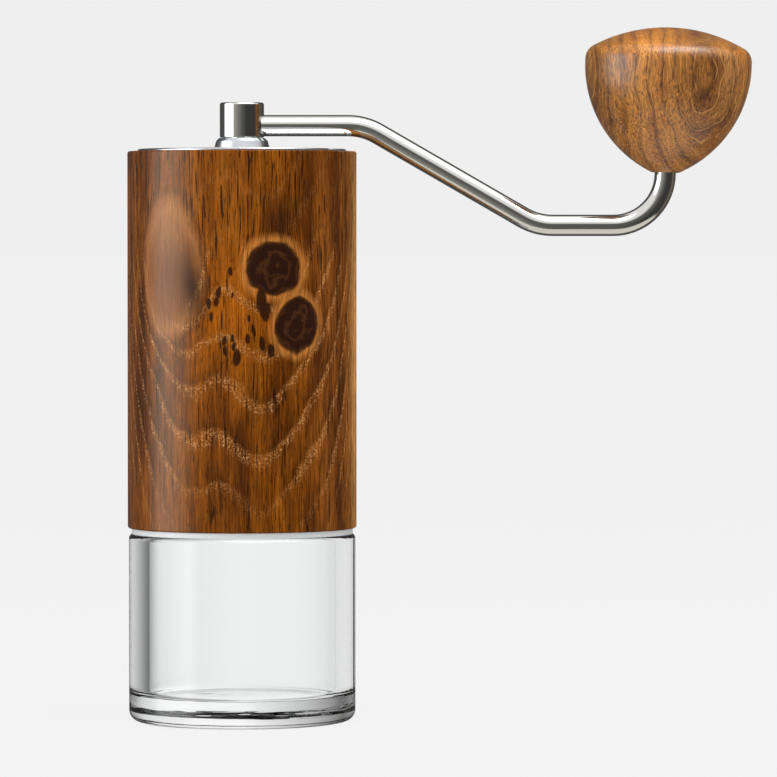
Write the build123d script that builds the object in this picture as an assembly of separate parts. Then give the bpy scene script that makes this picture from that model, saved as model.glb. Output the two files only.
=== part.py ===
"""Hand crank coffee grinder: a tubular mill with a wooden sleeve, a bent steel crank and a catch jar.

Frame: millimetres, +Z up, origin at the centre of the jar's underside, the crank arm along +X.
Every solid is written to parts/NODE.step. All places follow from the named sizes below.
"""

from build123d import *
from math import asin, atan2, cos, degrees, pi, radians, sin, sqrt, tan
import os

# ---- Body: wooden sleeve over an aluminium tube ----
SLEEVE_RADIUS = 30.0
SLEEVE_WALL = 1.6
SLEEVE_LENGTH = 98.6
SLEEVE_EDGE = 0.35          # chamfer on both ends of the sleeve
TUBE_WALL = 2.4

# ---- Catch jar: thick walled, straight bored, screws into the tube ----
JAR_RADIUS = 29.7
JAR_HEIGHT = 49.2           # underside to shoulder
JAR_WALL = 5.2
JAR_FLOOR = 6.8
JAR_BASE_ROUND = 3.0
JAR_SHOULDER_ROUND = 1.3
JAR_FLOOR_ROUND = 1.8
NECK_WALL = 1.7
NECK_HEIGHT = 8.0
GASKET_THICKNESS = 1.5
GASKET_INSET = 1.0          # from the sleeve's face to the gasket's edge
THREAD_PITCH = 3.0
THREAD_TURNS = 1.2
THREAD_DEPTH = 0.8
THREAD_CREST = 0.8          # axial width of the ridge at its crest
THREAD_FLANK = 0.4          # axial width that each flank adds at the root
THREAD_GAP = 0.3            # clearance round the ridge in its groove
SOCKET_DEPTH = 8.5          # counterbore in the tube's lower end

# ---- Lid ----
LID_EDGE_GAP = 0.2
LID_SEAT_WIDTH = 1.5        # step in the tube's bore that the rim rests on
LID_RIM = 1.0
LID_PROUD = 0.6             # rim's height over the sleeve
LID_CROWN = 0.5             # rise from the rim to the collar
LID_PLATE = 1.4
LID_SKIRT_DEPTH = 5.0
LID_SKIRT_WALL = 2.2
LID_SKIRT_GAP = 0.4
SEAL_WIRE = 0.65            # radius of the seal's round section
SEAL_GAP = 0.1
COLLAR_BASE_RADIUS = 7.2
COLLAR_TOP_RADIUS = 6.8
COLLAR_HEIGHT = 2.4
COLLAR_ROUND = 0.8

# ---- Axle ----
AXLE_RADIUS = 3.5
AXLE_FLAT = 2.7             # half the width across the flats
AXLE_THREAD_RADIUS = 2.5
AXLE_BORE_GAP = 0.3         # round the axle in the lid
DRIVE_GAP = 0.06            # round the flats in the hub and the burr
DRIVE_LENGTH = 8.6          # flats above the lid's collar
RUN_GAP = 0.05              # turned fits between bodies

# ---- Ball bearings: 7 x 14 x 5 ----
BEARING_WALL = 3.5          # bearing's outer radius less the axle's
BEARING_WIDTH = 5.0
RACE_THICKNESS = 1.1
BALL_RADIUS = 0.99
BALL_GAP = 0.04
BALL_COUNT = 8
CAGE_THICKNESS = 0.5
CAGE_RIM = 0.3              # cage material past the balls
CLIP_THICKNESS = 0.6
CLIP_DEPTH = 0.45           # depth of the circlip grooves
CLIP_WIDTH = 1.2
CLIP_OPENING = 60.0

# ---- Bearing bridges ----
BRIDGE_ARMS = 3
BRIDGE_FIRST_ARM = 90.0     # degrees from +X
ARM_WIDTH = 4.0
ARM_HEIGHT = 5.2
BRIDGE_HUB_WALL = 2.2
BRIDGE_LIP = 1.0
BRIDGE_LIP_WIDTH = 1.2
BRIDGE_RING = 1.8
BRIDGE_GAP = 0.05
UPPER_BRIDGE_DROP = 21.0    # from the sleeve's top to the upper bearing's underside

# ---- Burrs ----
CARRIER_WALL = 3.0
CARRIER_LEDGE = 1.5
CARRIER_LEDGE_WIDTH = 1.8
FUNNEL_HEIGHT = 3.8
FUNNEL_LIP = 0.4
OUTER_BURR_HEIGHT = 14.0
BURR_RING_HEIGHT = 1.4
BURR_WALL = 3.1             # outer burr's wall at its lower edge
GRIND_SLOPE = 0.25          # radius lost per height in the grinding zone
GRIND_HEIGHT = 6.0
CRACK_HEIGHT = 6.0
CRACK_SLOPE = 0.32
BURR_TRAVEL = 1.875         # two and a half turns of the dial
BURR_CLEARANCE = 0.154      # between the burrs at the finest setting
INNER_BURR_SKIRT = 1.6      # cone below the outer burr
INNER_BURR_HEIGHT = 21.6
INNER_BURR_TOP_RADIUS = 8.0
FINE_TEETH = 36
COARSE_TEETH = 7
FINE_DEPTH = 0.55
COARSE_DEPTH = 2.2
TOOTH_SKEW = 18.0
BURR_STEP_GAP = 0.3         # from the tube's socket step to the heads of the ring screws
RING_SCREW_COUNT = 3

# ---- Burr spring and its seat ----
SPRING_RADIUS = 5.1
SPRING_WIRE = 0.5
SPRING_TURNS = 5.0
SPRING_POCKET_GAP = 0.4
SPRING_POCKET_DEPTH = 8.0
SPRING_REST = 12.3
SEAT_FLANGE = 0.8
SEAT_BOSS = 1.4
SEAT_BOSS_RADIUS = 4.5

# ---- Adjusting dial ----
CLICK_PLATE = 0.9
CLICK_PLATE_RADIUS = 8.5
CLICKS = 12
CLICK_CIRCLE = 6.6
DIMPLE_RADIUS = 0.9
DIMPLE_DEPTH = 0.35
DIAL_GAP = 0.1
DIAL_RADIUS = 11.0
DIAL_HEIGHT = 5.5
DIAL_GRIPS = 24
GRIP_RADIUS = 0.7
NUT_RADIUS = 4.6
NUT_FLANGE = 0.8
NUT_FLANGE_RADIUS = 5.4
DETENT_RADIUS = 0.8
DETENT_RISE = 0.05          # of the pressed-down ball over the dial's face
DETENT_POCKET = 3.2
DETENT_COUNT = 2
AXLE_TAIL = 1.0             # thread left below the dial
AXLE_STEP = 0.3             # from the dial's top down to the end of the axle's flats

# ---- Crank ----
HUB_RADIUS = 5.8
HUB_HEIGHT = 9.15
HUB_EDGE = 0.6
HUB_FOOT_GAP = 0.15         # over the lid's collar
ROD_RADIUS = 2.8
ROD_SEAT = 1.9              # depth of the rod's seat in the hub
ROD_LIFT = 0.3              # rod's underside over the hub's foot
FIRST_CORNER = 32.0         # axle to the first bend's corner
ARM_DROP = 26.1
ARM_SLOPE = 30.0
SHOULDER_BEND = 15.5
KNOB_BEND = 13.6
KNOB_REACH = 110.9          # axle to the knob's foot
KNOB_FOOT = 13.5            # knob's foot over the lower run's centre
KNOB_LEAN = 1.6             # outward lean of the knob's axis, degrees

# ---- Knob ----
KNOB_RADIUS = 21.8
KNOB_WAIST = 28.7           # height of the widest point
KNOB_HEIGHT = 38.3
FLANK_RADIUS = 31.2
RIM_RADIUS = 4.1
DOME_RADIUS = 40.4
BUSH_WALL = 0.75
BUSH_LENGTH = 24.0
BUSH_CAP = 1.2
BUSH_INSET = 0.45
TIP_GAP = 0.15
SNAP_BACK = 3.2             # snap ring's distance from the rod's tip
SNAP_WIRE = 0.35

# ---- Fasteners ----
SCREW_RADIUS = 1.25
SCREW_HEAD_RADIUS = 2.3
SCREW_HEAD_HEIGHT = 1.2
SCREW_LENGTH = 6.6
SCREW_HOLE_GAP = 0.05
SOCKET_FLAT = 0.75
SOCKET_DEEP = 0.8
RING_SCREW_RADIUS = 1.0
RING_SCREW_HEAD_RADIUS = 1.5
RING_SCREW_INSET = 0.15     # from the tube's bore to the screw heads
RING_SCREW_HEAD = 0.9
RING_SCREW_LENGTH = 5.0

# ---- Levels and radii that follow ----
tube_radius = SLEEVE_RADIUS - SLEEVE_WALL
bore = tube_radius - TUBE_WALL
neck_bore = JAR_RADIUS - JAR_WALL
neck_radius = neck_bore + NECK_WALL
socket_radius = neck_radius + THREAD_GAP
sleeve_bottom = JAR_HEIGHT + GASKET_THICKNESS
sleeve_top = sleeve_bottom + SLEEVE_LENGTH
socket_top = sleeve_bottom + SOCKET_DEPTH

lid_seat = sleeve_top + LID_PROUD - LID_RIM
lid_rim_radius = bore + LID_SEAT_WIDTH - LID_EDGE_GAP
collar_bottom = sleeve_top + LID_PROUD + LID_CROWN
collar_top = collar_bottom + COLLAR_HEIGHT
axle_top = collar_top + DRIVE_LENGTH - 1.0
skirt_radius = bore - LID_SKIRT_GAP

bearing_radius = AXLE_RADIUS + BEARING_WALL
ball_circle = AXLE_RADIUS + BEARING_WALL / 2
upper_bearing = sleeve_top - UPPER_BRIDGE_DROP

burr_bottom = socket_top + BURR_STEP_GAP + RING_SCREW_HEAD + BURR_RING_HEIGHT
burr_top = burr_bottom + OUTER_BURR_HEIGHT
outer_burr_radius = bore - CARRIER_WALL
burr_mouth = outer_burr_radius - BURR_WALL
cone_bottom = burr_bottom - INNER_BURR_SKIRT
cone_top = cone_bottom + INNER_BURR_HEIGHT
cone_gap = BURR_TRAVEL * GRIND_SLOPE + BURR_CLEARANCE
spring_floor = cone_top - SPRING_POCKET_DEPTH
spring_top = spring_floor + SPRING_REST
lower_bearing = spring_top + SEAT_FLANGE + SEAT_BOSS

click_bottom = cone_bottom - CLICK_PLATE
dial_top = click_bottom - DIAL_GAP
dial_bottom = dial_top - DIAL_HEIGHT
axle_bottom = dial_bottom - AXLE_TAIL

hub_bottom = collar_top + HUB_FOOT_GAP
rod_level = hub_bottom + ROD_LIFT + ROD_RADIUS
lower_level = rod_level - ARM_DROP
second_corner = FIRST_CORNER + ARM_DROP / tan(radians(ARM_SLOPE))
knob_foot_level = lower_level + KNOB_FOOT
lean = radians(KNOB_LEAN)
knob_frame = Plane(
    origin=(KNOB_REACH, 0, knob_foot_level),
    x_dir=(cos(lean), 0, -sin(lean)),
    z_dir=(sin(lean), 0, cos(lean)),
)
bush_bore = ROD_RADIUS + RUN_GAP
bush_radius = bush_bore + BUSH_WALL
tip_height = BUSH_INSET + BUSH_LENGTH - BUSH_CAP - TIP_GAP
arm_angles = [BRIDGE_FIRST_ARM + i * 360 / BRIDGE_ARMS for i in range(BRIDGE_ARMS)]


# ---- Small helpers ----
def turned(points):
    """A solid turned about Z from a closed outline of (radius, height) corners."""
    outline = Polyline(*[(r, 0, z) for r, z in points], close=True)
    return revolve(make_face(outline), Axis.Z)


def turned_edges(*edges):
    """A solid turned about Z from edges that close an outline in the XZ plane."""
    return revolve(Face(Wire(list(edges))), Axis.Z)


def line(start, end):
    """A straight edge between two (radius, height) corners."""
    return Line((start[0], 0, start[1]), (end[0], 0, end[1]))


def arc(start, centre, end):
    """The short arc round centre between two (radius, height) corners."""
    radius = sqrt((start[0] - centre[0]) ** 2 + (start[1] - centre[1]) ** 2)
    out_r = start[0] + end[0] - 2 * centre[0]
    out_z = start[1] + end[1] - 2 * centre[1]
    scale = radius / sqrt(out_r**2 + out_z**2)
    middle = (centre[0] + out_r * scale, 0, centre[1] + out_z * scale)
    return ThreePointArc((start[0], 0, start[1]), middle, (end[0], 0, end[1]))


def ring(inner, outer, low, high):
    return turned([(inner, low), (outer, low), (outer, high), (inner, high)])


def disc(radius, low, high):
    return Pos(0, 0, low) * Cylinder(radius, high - low, align=(Align.CENTER, Align.CENTER, Align.MIN))


def block(x, y, low, high):
    return Pos(0, 0, low) * Box(x, y, high - low, align=(Align.CENTER, Align.CENTER, Align.MIN))


def double_d(radius, flat, low, high):
    """A round bar with two flats, facing +X and -X."""
    return disc(radius, low, high) & block(2 * flat, 4 * radius, low, high)


def around(shape, count, first=0.0):
    """Copies of a shape, evenly spaced round Z."""
    return [Rot(0, 0, first + i * 360 / count) * shape for i in range(count)]


def radial(shape, angle, radius, level):
    """Turns a shape built along +Z so that it points out along angle, at that radius and level."""
    return Rot(0, 0, angle) * Pos(radius, 0, level) * Rot(0, 90, 0) * shape


def helical_bar(radius, pitch, turns, low, corners, start=0.0):
    """A bar of that (radial, axial) section, wound round Z from the level low."""
    path = Helix(pitch=pitch, height=pitch * turns, radius=radius)
    section = Plane(origin=path @ 0, x_dir=(1, 0, 0), z_dir=path % 0) * Polygon(*corners, align=None)
    return Pos(0, 0, low) * Rot(0, 0, start) * sweep(section, path=path, is_frenet=True)


def coil(radius, wire, turns, low, high):
    """A compression spring with its wire between the levels low and high."""
    rise = high - low - 2 * wire
    path = Helix(pitch=rise / turns, height=rise, radius=radius)
    section = Plane(origin=path @ 0, x_dir=(1, 0, 0), z_dir=path % 0) * Circle(wire)
    return Pos(0, 0, low + wire) * sweep(section, path=path, is_frenet=True)


def save(name, *solids):
    """Writes one node: a single solid, or a group of separate ones."""
    flat = [s for shape in solids for s in shape.solids()]
    export_step(flat[0] if len(flat) == 1 else Compound(flat), f"parts/{name}.step")


# ---- Fasteners ----
def hex_recess(top):
    return Pos(0, 0, top) * extrude(RegularPolygon(SOCKET_FLAT / cos(pi / 6), 6), -SOCKET_DEEP)


def countersunk_screw():
    """Along +Z with the head's face at z = 0."""
    body = turned([
        (0, -SCREW_LENGTH),
        (SCREW_RADIUS, -SCREW_LENGTH),
        (SCREW_RADIUS, -SCREW_HEAD_HEIGHT),
        (SCREW_HEAD_RADIUS, -0.15),
        (SCREW_HEAD_RADIUS, 0),
        (0, 0),
    ])
    return body - hex_recess(0)


def countersunk_hole():
    """The space that a countersunk screw needs, a little larger than the screw."""
    gap = SCREW_HOLE_GAP
    return turned([
        (0, -SCREW_LENGTH - 0.3),
        (SCREW_RADIUS + gap, -SCREW_LENGTH - 0.3),
        (SCREW_RADIUS + gap, -SCREW_HEAD_HEIGHT - gap),
        (SCREW_HEAD_RADIUS + gap, -0.15 - gap),
        (SCREW_HEAD_RADIUS + gap, 1),
        (0, 1),
    ])


screw_inset = tube_radius - 0.25
carrier_screw_level = burr_bottom + OUTER_BURR_HEIGHT * 0.55
bridge_screw_rise = BRIDGE_LIP + ARM_HEIGHT / 2 - 0.4


def screw_levels():
    """Levels of the three rings of radial screws: carrier, lower bridge, upper bridge."""
    return [
        carrier_screw_level,
        lower_bearing - BRIDGE_LIP + bridge_screw_rise,
        upper_bearing - BRIDGE_LIP + bridge_screw_rise,
    ]


def placed_screws(level, shape):
    return [radial(shape, a, screw_inset, level) for a in arm_angles]


def short_screw(shape_length):
    """A countersunk screw cut to a shorter length, for the carrier's thin wall."""
    return countersunk_screw() & disc(2 * SCREW_HEAD_RADIUS, -shape_length, 1)


# ---- Body ----
def wood_sleeve():
    e = SLEEVE_EDGE
    inner = tube_radius
    return turned([
        (inner, sleeve_bottom),
        (SLEEVE_RADIUS - e, sleeve_bottom),
        (SLEEVE_RADIUS, sleeve_bottom + e),
        (SLEEVE_RADIUS, sleeve_top - e),
        (SLEEVE_RADIUS - e, sleeve_top),
        (inner, sleeve_top),
    ])


def thread_section(gap):
    """The jar's thread ridge, grown by gap, as (radial, axial) corners from the neck's surface."""
    half_crest = THREAD_CREST / 2 + gap
    half_root = half_crest + THREAD_FLANK
    root, crest = -0.5, THREAD_DEPTH + gap
    return [(root, -half_root), (crest, -half_crest), (crest, half_crest), (root, half_root)]


thread_low = JAR_HEIGHT + 3.0


def jar_groove():
    """The helical groove that the jar's ridge runs in, open at the tube's lower end."""
    spare = 0.12
    turns_below = (thread_low - sleeve_bottom) / THREAD_PITCH + 0.7
    turns = turns_below + THREAD_TURNS + spare
    low = thread_low - turns_below * THREAD_PITCH
    return helical_bar(neck_radius, THREAD_PITCH, turns, low, thread_section(THREAD_GAP), -360 * turns_below)


def body_tube():
    tube = turned([
        (socket_radius, sleeve_bottom),
        (tube_radius, sleeve_bottom),
        (tube_radius, sleeve_top),
        (bore + LID_SEAT_WIDTH, sleeve_top),
        (bore + LID_SEAT_WIDTH, lid_seat),
        (bore, lid_seat),
        (bore, socket_top),
        (socket_radius, socket_top),
    ])
    tube -= jar_groove()
    holes = [h for level in screw_levels() for h in placed_screws(level, countersunk_hole())]
    return tube - holes


# ---- Jar ----
def jar():
    inner_round, base_round, edge = JAR_FLOOR_ROUND, JAR_BASE_ROUND, JAR_SHOULDER_ROUND
    top = JAR_HEIGHT + NECK_HEIGHT
    lip = NECK_WALL / 2
    corners = [
        (JAR_RADIUS - base_round, 0),
        (JAR_RADIUS, base_round),
        (JAR_RADIUS, JAR_HEIGHT - edge),
        (JAR_RADIUS - edge, JAR_HEIGHT),
        (neck_radius, JAR_HEIGHT),
        (neck_radius, top - lip),
        (neck_bore + lip, top),
        (neck_bore, top - lip),
        (neck_bore, JAR_FLOOR + inner_round),
        (neck_bore - inner_round, JAR_FLOOR),
    ]
    edges = [
        line((0, 0), corners[0]),
        arc(corners[0], (JAR_RADIUS - base_round, base_round), corners[1]),
        line(corners[1], corners[2]),
        arc(corners[2], (JAR_RADIUS - edge, JAR_HEIGHT - edge), corners[3]),
        line(corners[3], corners[4]),
        line(corners[4], corners[5]),
        arc(corners[5], (neck_bore + lip, top - lip), corners[6]),
        arc(corners[6], (neck_bore + lip, top - lip), corners[7]),
        line(corners[7], corners[8]),
        arc(corners[8], (neck_bore - inner_round, JAR_FLOOR + inner_round), corners[9]),
        line(corners[9], (0, JAR_FLOOR)),
        line((0, JAR_FLOOR), (0, 0)),
    ]
    ridge = helical_bar(neck_radius, THREAD_PITCH, THREAD_TURNS, thread_low, thread_section(0))
    return turned_edges(*edges) + ridge


def jar_gasket():
    return ring(neck_radius + RUN_GAP, SLEEVE_RADIUS - GASKET_INSET, JAR_HEIGHT, sleeve_bottom)


# ---- Lid ----
def lid():
    rim_top = sleeve_top + LID_PROUD
    bevel = 0.3
    skirt_inner = skirt_radius - LID_SKIRT_WALL
    skirt_bottom = lid_seat - LID_SKIRT_DEPTH
    hole = AXLE_RADIUS + AXLE_BORE_GAP
    body = turned([
        (hole, collar_bottom - LID_PLATE),
        (skirt_inner, rim_top - LID_PLATE),
        (skirt_inner, skirt_bottom),
        (skirt_radius, skirt_bottom),
        (skirt_radius, lid_seat),
        (lid_rim_radius, lid_seat),
        (lid_rim_radius, rim_top - bevel),
        (lid_rim_radius - bevel, rim_top),
        (COLLAR_BASE_RADIUS, collar_bottom),
        (COLLAR_TOP_RADIUS, collar_top - COLLAR_ROUND),
        (COLLAR_TOP_RADIUS - COLLAR_ROUND, collar_top),
        (hole, collar_top),
    ])
    return body - seal_groove()


seal_level = lid_seat - LID_SKIRT_DEPTH / 2
seal_circle = bore - SEAL_GAP - SEAL_WIRE


def seal_groove():
    half = SEAL_WIRE + 0.05
    return ring(seal_circle - SEAL_WIRE, bore + 1, seal_level - half, seal_level + half)


def lid_seal():
    return Pos(0, 0, seal_level) * Torus(seal_circle, SEAL_WIRE)


# ---- Bearings and circlips ----
def bearing(level):
    """Outer race, inner race, balls and cage of one ball bearing, its underside at that level."""
    middle = level + BEARING_WIDTH / 2
    top = level + BEARING_WIDTH
    groove = Pos(0, 0, middle) * Torus(ball_circle, BALL_RADIUS + BALL_GAP)
    outer = ring(bearing_radius - RACE_THICKNESS, bearing_radius, level, top) - groove
    inner = ring(AXLE_RADIUS, AXLE_RADIUS + RACE_THICKNESS, level, top) - groove
    balls = around(Pos(ball_circle, 0, middle) * Sphere(BALL_RADIUS), BALL_COUNT)
    half, wall = BALL_RADIUS + CAGE_RIM, CAGE_THICKNESS / 2
    cage = ring(ball_circle - wall, ball_circle + wall, middle - half, middle + half)
    pocket = Pos(0, 0, middle) * Rot(0, 90, 0) * disc(BALL_RADIUS + BALL_GAP, AXLE_RADIUS, bearing_radius)
    return outer, inner, balls, cage - around(pocket, BALL_COUNT)


def opened(shape, radius, low, high):
    """Cuts a circlip's opening, which faces +Y."""
    half = radians(CLIP_OPENING / 2)
    across, out = 2 * radius * sin(half), 2 * radius * cos(half)
    wedge = Polygon((0, 0), (across, out), (-across, out), align=None)
    return shape - Pos(0, 0, low - 1) * extrude(wedge, high - low + 2)


def axle_clip(level):
    """A circlip on the axle."""
    groove = AXLE_RADIUS - CLIP_DEPTH
    top = level + CLIP_THICKNESS
    return opened(ring(groove, groove + CLIP_WIDTH, level, top), groove + CLIP_WIDTH, level, top)


def bearing_clip(level):
    """A circlip in a bridge's seat, over the outer race."""
    groove = bearing_radius + CLIP_DEPTH
    top = level + CLIP_THICKNESS
    return opened(ring(groove - CLIP_WIDTH, groove, level, top), groove, level, top)


# ---- Bridges ----
def bridge(level):
    """A three-armed bridge across the tube with a seat for the bearing at that level."""
    low = level - BRIDGE_LIP
    high = level + BEARING_WIDTH + CLIP_THICKNESS + 0.8
    hub = disc(bearing_radius + BRIDGE_HUB_WALL, low, high)
    outer = bore - BRIDGE_GAP
    arm_length = outer - BRIDGE_RING / 2
    arm = Pos(0, 0, low) * Box(arm_length, ARM_WIDTH, ARM_HEIGHT, align=(Align.MIN, Align.CENTER, Align.MIN))
    arm = chamfer(arm.edges().filter_by(Axis.X).group_by(Axis.Z)[-1], ARM_WIDTH / 4)
    body = hub + around(arm, BRIDGE_ARMS, BRIDGE_FIRST_ARM)
    body += ring(outer - BRIDGE_RING, outer, low, low + ARM_HEIGHT)
    body -= disc(bearing_radius - BRIDGE_LIP_WIDTH, low - 1, high)
    body -= disc(bearing_radius, level, high + 1)
    seat = level + BEARING_WIDTH
    body -= disc(bearing_radius + CLIP_DEPTH, seat, seat + CLIP_THICKNESS)
    holes = placed_screws(low + bridge_screw_rise, countersunk_hole())
    return body - holes


# ---- Burrs ----
def burr_carrier():
    outer = bore - BRIDGE_GAP
    ledge = outer_burr_radius - CARRIER_LEDGE_WIDTH
    ledge_top = burr_top + CARRIER_LEDGE
    body = turned([
        (outer_burr_radius, burr_bottom),
        (outer, burr_bottom),
        (outer, ledge_top + FUNNEL_HEIGHT),
        (outer - FUNNEL_LIP, ledge_top + FUNNEL_HEIGHT),
        (ledge, ledge_top),
        (ledge, burr_top),
        (outer_burr_radius, burr_top),
    ])
    holes = placed_screws(carrier_screw_level, countersunk_hole() & disc(4, -carrier_screw_length - 0.1, 2))
    return body - holes - around(ring_screw_hole(), RING_SCREW_COUNT, BRIDGE_FIRST_ARM + 60)


carrier_screw_length = TUBE_WALL + CARRIER_WALL - 0.9
ring_screw_circle = bore - RING_SCREW_INSET - RING_SCREW_HEAD_RADIUS


def ring_screw_hole():
    low, high = burr_bottom - BURR_RING_HEIGHT - 1, burr_bottom + RING_SCREW_LENGTH
    return Pos(ring_screw_circle, 0, 0) * disc(RING_SCREW_RADIUS + SCREW_HOLE_GAP, low, high)


def ring_screw():
    """Pan head screw, head down, that holds the retaining ring."""
    low = burr_bottom - BURR_RING_HEIGHT
    head = disc(RING_SCREW_HEAD_RADIUS, low - RING_SCREW_HEAD, low)
    head = fillet(head.edges().group_by(Axis.Z)[0], 0.4)
    shank = disc(RING_SCREW_RADIUS, low, low + RING_SCREW_LENGTH)
    slot = block(0.4, 4 * RING_SCREW_HEAD_RADIUS, low - RING_SCREW_HEAD - 1, low - RING_SCREW_HEAD + 0.4)
    return Pos(ring_screw_circle, 0, 0) * (head + shank - slot)


def burr_ring():
    """Retaining ring under the outer burr."""
    low = burr_bottom - BURR_RING_HEIGHT
    body = turned([
        (burr_mouth + 0.4 + BURR_RING_HEIGHT / 2, low),
        (bore - BRIDGE_GAP - 0.1, low),
        (bore - BRIDGE_GAP - 0.1, burr_bottom),
        (burr_mouth + 0.4, burr_bottom),
    ])
    return body - around(ring_screw_hole(), RING_SCREW_COUNT, BRIDGE_FIRST_ARM + 60)


grind_top_radius = burr_mouth - GRIND_SLOPE * GRIND_HEIGHT
crack_top_radius = grind_top_radius - CRACK_SLOPE * CRACK_HEIGHT


def tooth_cutter(radius, level, slope, length, depth, width):
    """A V bar along a cone's side, centred on the cone's surface at that radius and level."""
    bar = extrude(Polygon((-depth, 0), (depth, -width), (depth, width), align=None), length / 2, both=True)
    tilt = degrees(atan2(-slope, 1))
    return Pos(radius, 0, level) * Rot(0, tilt, 0) * Rot(TOOTH_SKEW, 0, 0) * bar


def inner_tooth_cutter(radius, level, slope, length, depth, width):
    """The same bar with its edge pointing outwards, for a ring's inner side."""
    bar = extrude(Polygon((depth, 0), (-depth, -width), (-depth, width), align=None), length / 2, both=True)
    tilt = degrees(atan2(-slope, 1))
    return Pos(radius, 0, level) * Rot(0, tilt, 0) * Rot(-TOOTH_SKEW, 0, 0) * bar


def outer_burr():
    body = turned([
        (burr_mouth, burr_bottom),
        (outer_burr_radius, burr_bottom),
        (outer_burr_radius, burr_top),
        (outer_burr_radius - CARRIER_LEDGE_WIDTH + 0.2, burr_top),
        (crack_top_radius, burr_bottom + GRIND_HEIGHT + CRACK_HEIGHT),
        (grind_top_radius, burr_bottom + GRIND_HEIGHT),
    ])
    middle = GRIND_HEIGHT / 2
    fine = inner_tooth_cutter(
        burr_mouth - GRIND_SLOPE * middle,
        burr_bottom + middle,
        GRIND_SLOPE,
        2 * GRIND_HEIGHT,
        FINE_DEPTH,
        2 * FINE_DEPTH,
    )
    high = GRIND_HEIGHT + CRACK_HEIGHT * 0.8
    coarse = inner_tooth_cutter(
        grind_top_radius - CRACK_SLOPE * CRACK_HEIGHT * 0.8,
        burr_bottom + high,
        CRACK_SLOPE,
        1.6 * CRACK_HEIGHT,
        COARSE_DEPTH * 0.6,
        COARSE_DEPTH,
    )
    return body - around(fine, FINE_TEETH) - around(coarse, 2 * COARSE_TEETH)


def inner_burr():
    """The cone burr, with flats in its bore and a pocket for the spring."""
    skirt_radius_low = burr_mouth - cone_gap + GRIND_SLOPE * INNER_BURR_SKIRT
    shoulder_level = burr_bottom + GRIND_HEIGHT
    shoulder_radius = grind_top_radius - cone_gap
    crown = 2.0
    slope = (shoulder_radius - INNER_BURR_TOP_RADIUS) / (cone_top - crown - shoulder_level)
    body = turned([
        (0, cone_bottom),
        (skirt_radius_low, cone_bottom),
        (shoulder_radius, shoulder_level),
        (INNER_BURR_TOP_RADIUS, cone_top - crown),
        (INNER_BURR_TOP_RADIUS, cone_top),
        (0, cone_top),
    ])
    middle = (GRIND_HEIGHT - INNER_BURR_SKIRT) / 2
    fine = tooth_cutter(
        burr_mouth - cone_gap - GRIND_SLOPE * middle,
        burr_bottom + middle,
        GRIND_SLOPE,
        2 * GRIND_HEIGHT,
        FINE_DEPTH,
        2 * FINE_DEPTH,
    )
    run = cone_top - crown - shoulder_level
    coarse = tooth_cutter(
        shoulder_radius - slope * run * 0.55,
        shoulder_level + run * 0.55,
        slope,
        1.9 * run,
        COARSE_DEPTH,
        1.5 * COARSE_DEPTH,
    )
    body -= around(fine, FINE_TEETH)
    body -= around(coarse, COARSE_TEETH)
    body -= double_d(AXLE_RADIUS + DRIVE_GAP, AXLE_FLAT + DRIVE_GAP, cone_bottom - 1, cone_top)
    return body - disc(SPRING_RADIUS + SPRING_WIRE + SPRING_POCKET_GAP, spring_floor, cone_top + 1)


def spring_seat():
    boss_top = lower_bearing
    flange = SPRING_RADIUS + SPRING_WIRE
    return turned([
        (AXLE_RADIUS, spring_top),
        (flange, spring_top),
        (flange, spring_top + SEAT_FLANGE),
        (SEAT_BOSS_RADIUS, spring_top + SEAT_FLANGE),
        (SEAT_BOSS_RADIUS, boss_top),
        (AXLE_RADIUS, boss_top),
    ])


# ---- Axle ----
def axle():
    drive_low = collar_top - 1.0
    flats_low = dial_top - AXLE_STEP
    flats_high = cone_top + BURR_TRAVEL + 0.4
    tip = 0.6
    body = turned([
        (0, axle_bottom),
        (AXLE_THREAD_RADIUS - tip, axle_bottom),
        (AXLE_THREAD_RADIUS, axle_bottom + tip),
        (AXLE_THREAD_RADIUS, flats_low),
        (AXLE_RADIUS, flats_low),
        (AXLE_RADIUS, axle_top - tip),
        (AXLE_RADIUS - tip, axle_top),
        (0, axle_top),
    ])
    keep = block(2 * AXLE_FLAT, 4 * AXLE_RADIUS, drive_low, axle_top + 1)
    body -= disc(2 * AXLE_RADIUS, drive_low, axle_top + 1) - keep
    keep = block(2 * AXLE_FLAT, 4 * AXLE_RADIUS, flats_low, flats_high)
    body -= disc(2 * AXLE_RADIUS, flats_low, flats_high) - keep
    for level in axle_clip_levels():
        body -= ring(AXLE_RADIUS - CLIP_DEPTH, AXLE_RADIUS + 1, level, level + CLIP_THICKNESS)
    return body


def axle_clip_levels():
    """Over the lower bearing, and under and over the upper one."""
    return [
        lower_bearing + BEARING_WIDTH,
        upper_bearing - CLIP_THICKNESS,
        upper_bearing + BEARING_WIDTH,
    ]


# ---- Dial ----
def click_plate():
    body = disc(CLICK_PLATE_RADIUS, click_bottom, cone_bottom)
    body -= double_d(AXLE_RADIUS + DRIVE_GAP, AXLE_FLAT + DRIVE_GAP, click_bottom - 1, cone_bottom + 1)
    dimple = Pos(CLICK_CIRCLE, 0, click_bottom - DIMPLE_RADIUS + DIMPLE_DEPTH) * Sphere(DIMPLE_RADIUS)
    return body - around(dimple, CLICKS)


detent_level = dial_top + DETENT_RISE - DETENT_RADIUS


def detent_ball():
    return Pos(CLICK_CIRCLE, 0, detent_level) * Sphere(DETENT_RADIUS)


def detent_spring():
    low = dial_top - DETENT_POCKET
    wire = 0.15
    high = detent_level - DETENT_RADIUS
    return Pos(CLICK_CIRCLE, 0, 0) * coil(DETENT_RADIUS - 2 * wire, wire, 3, low, high - 0.02)


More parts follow.
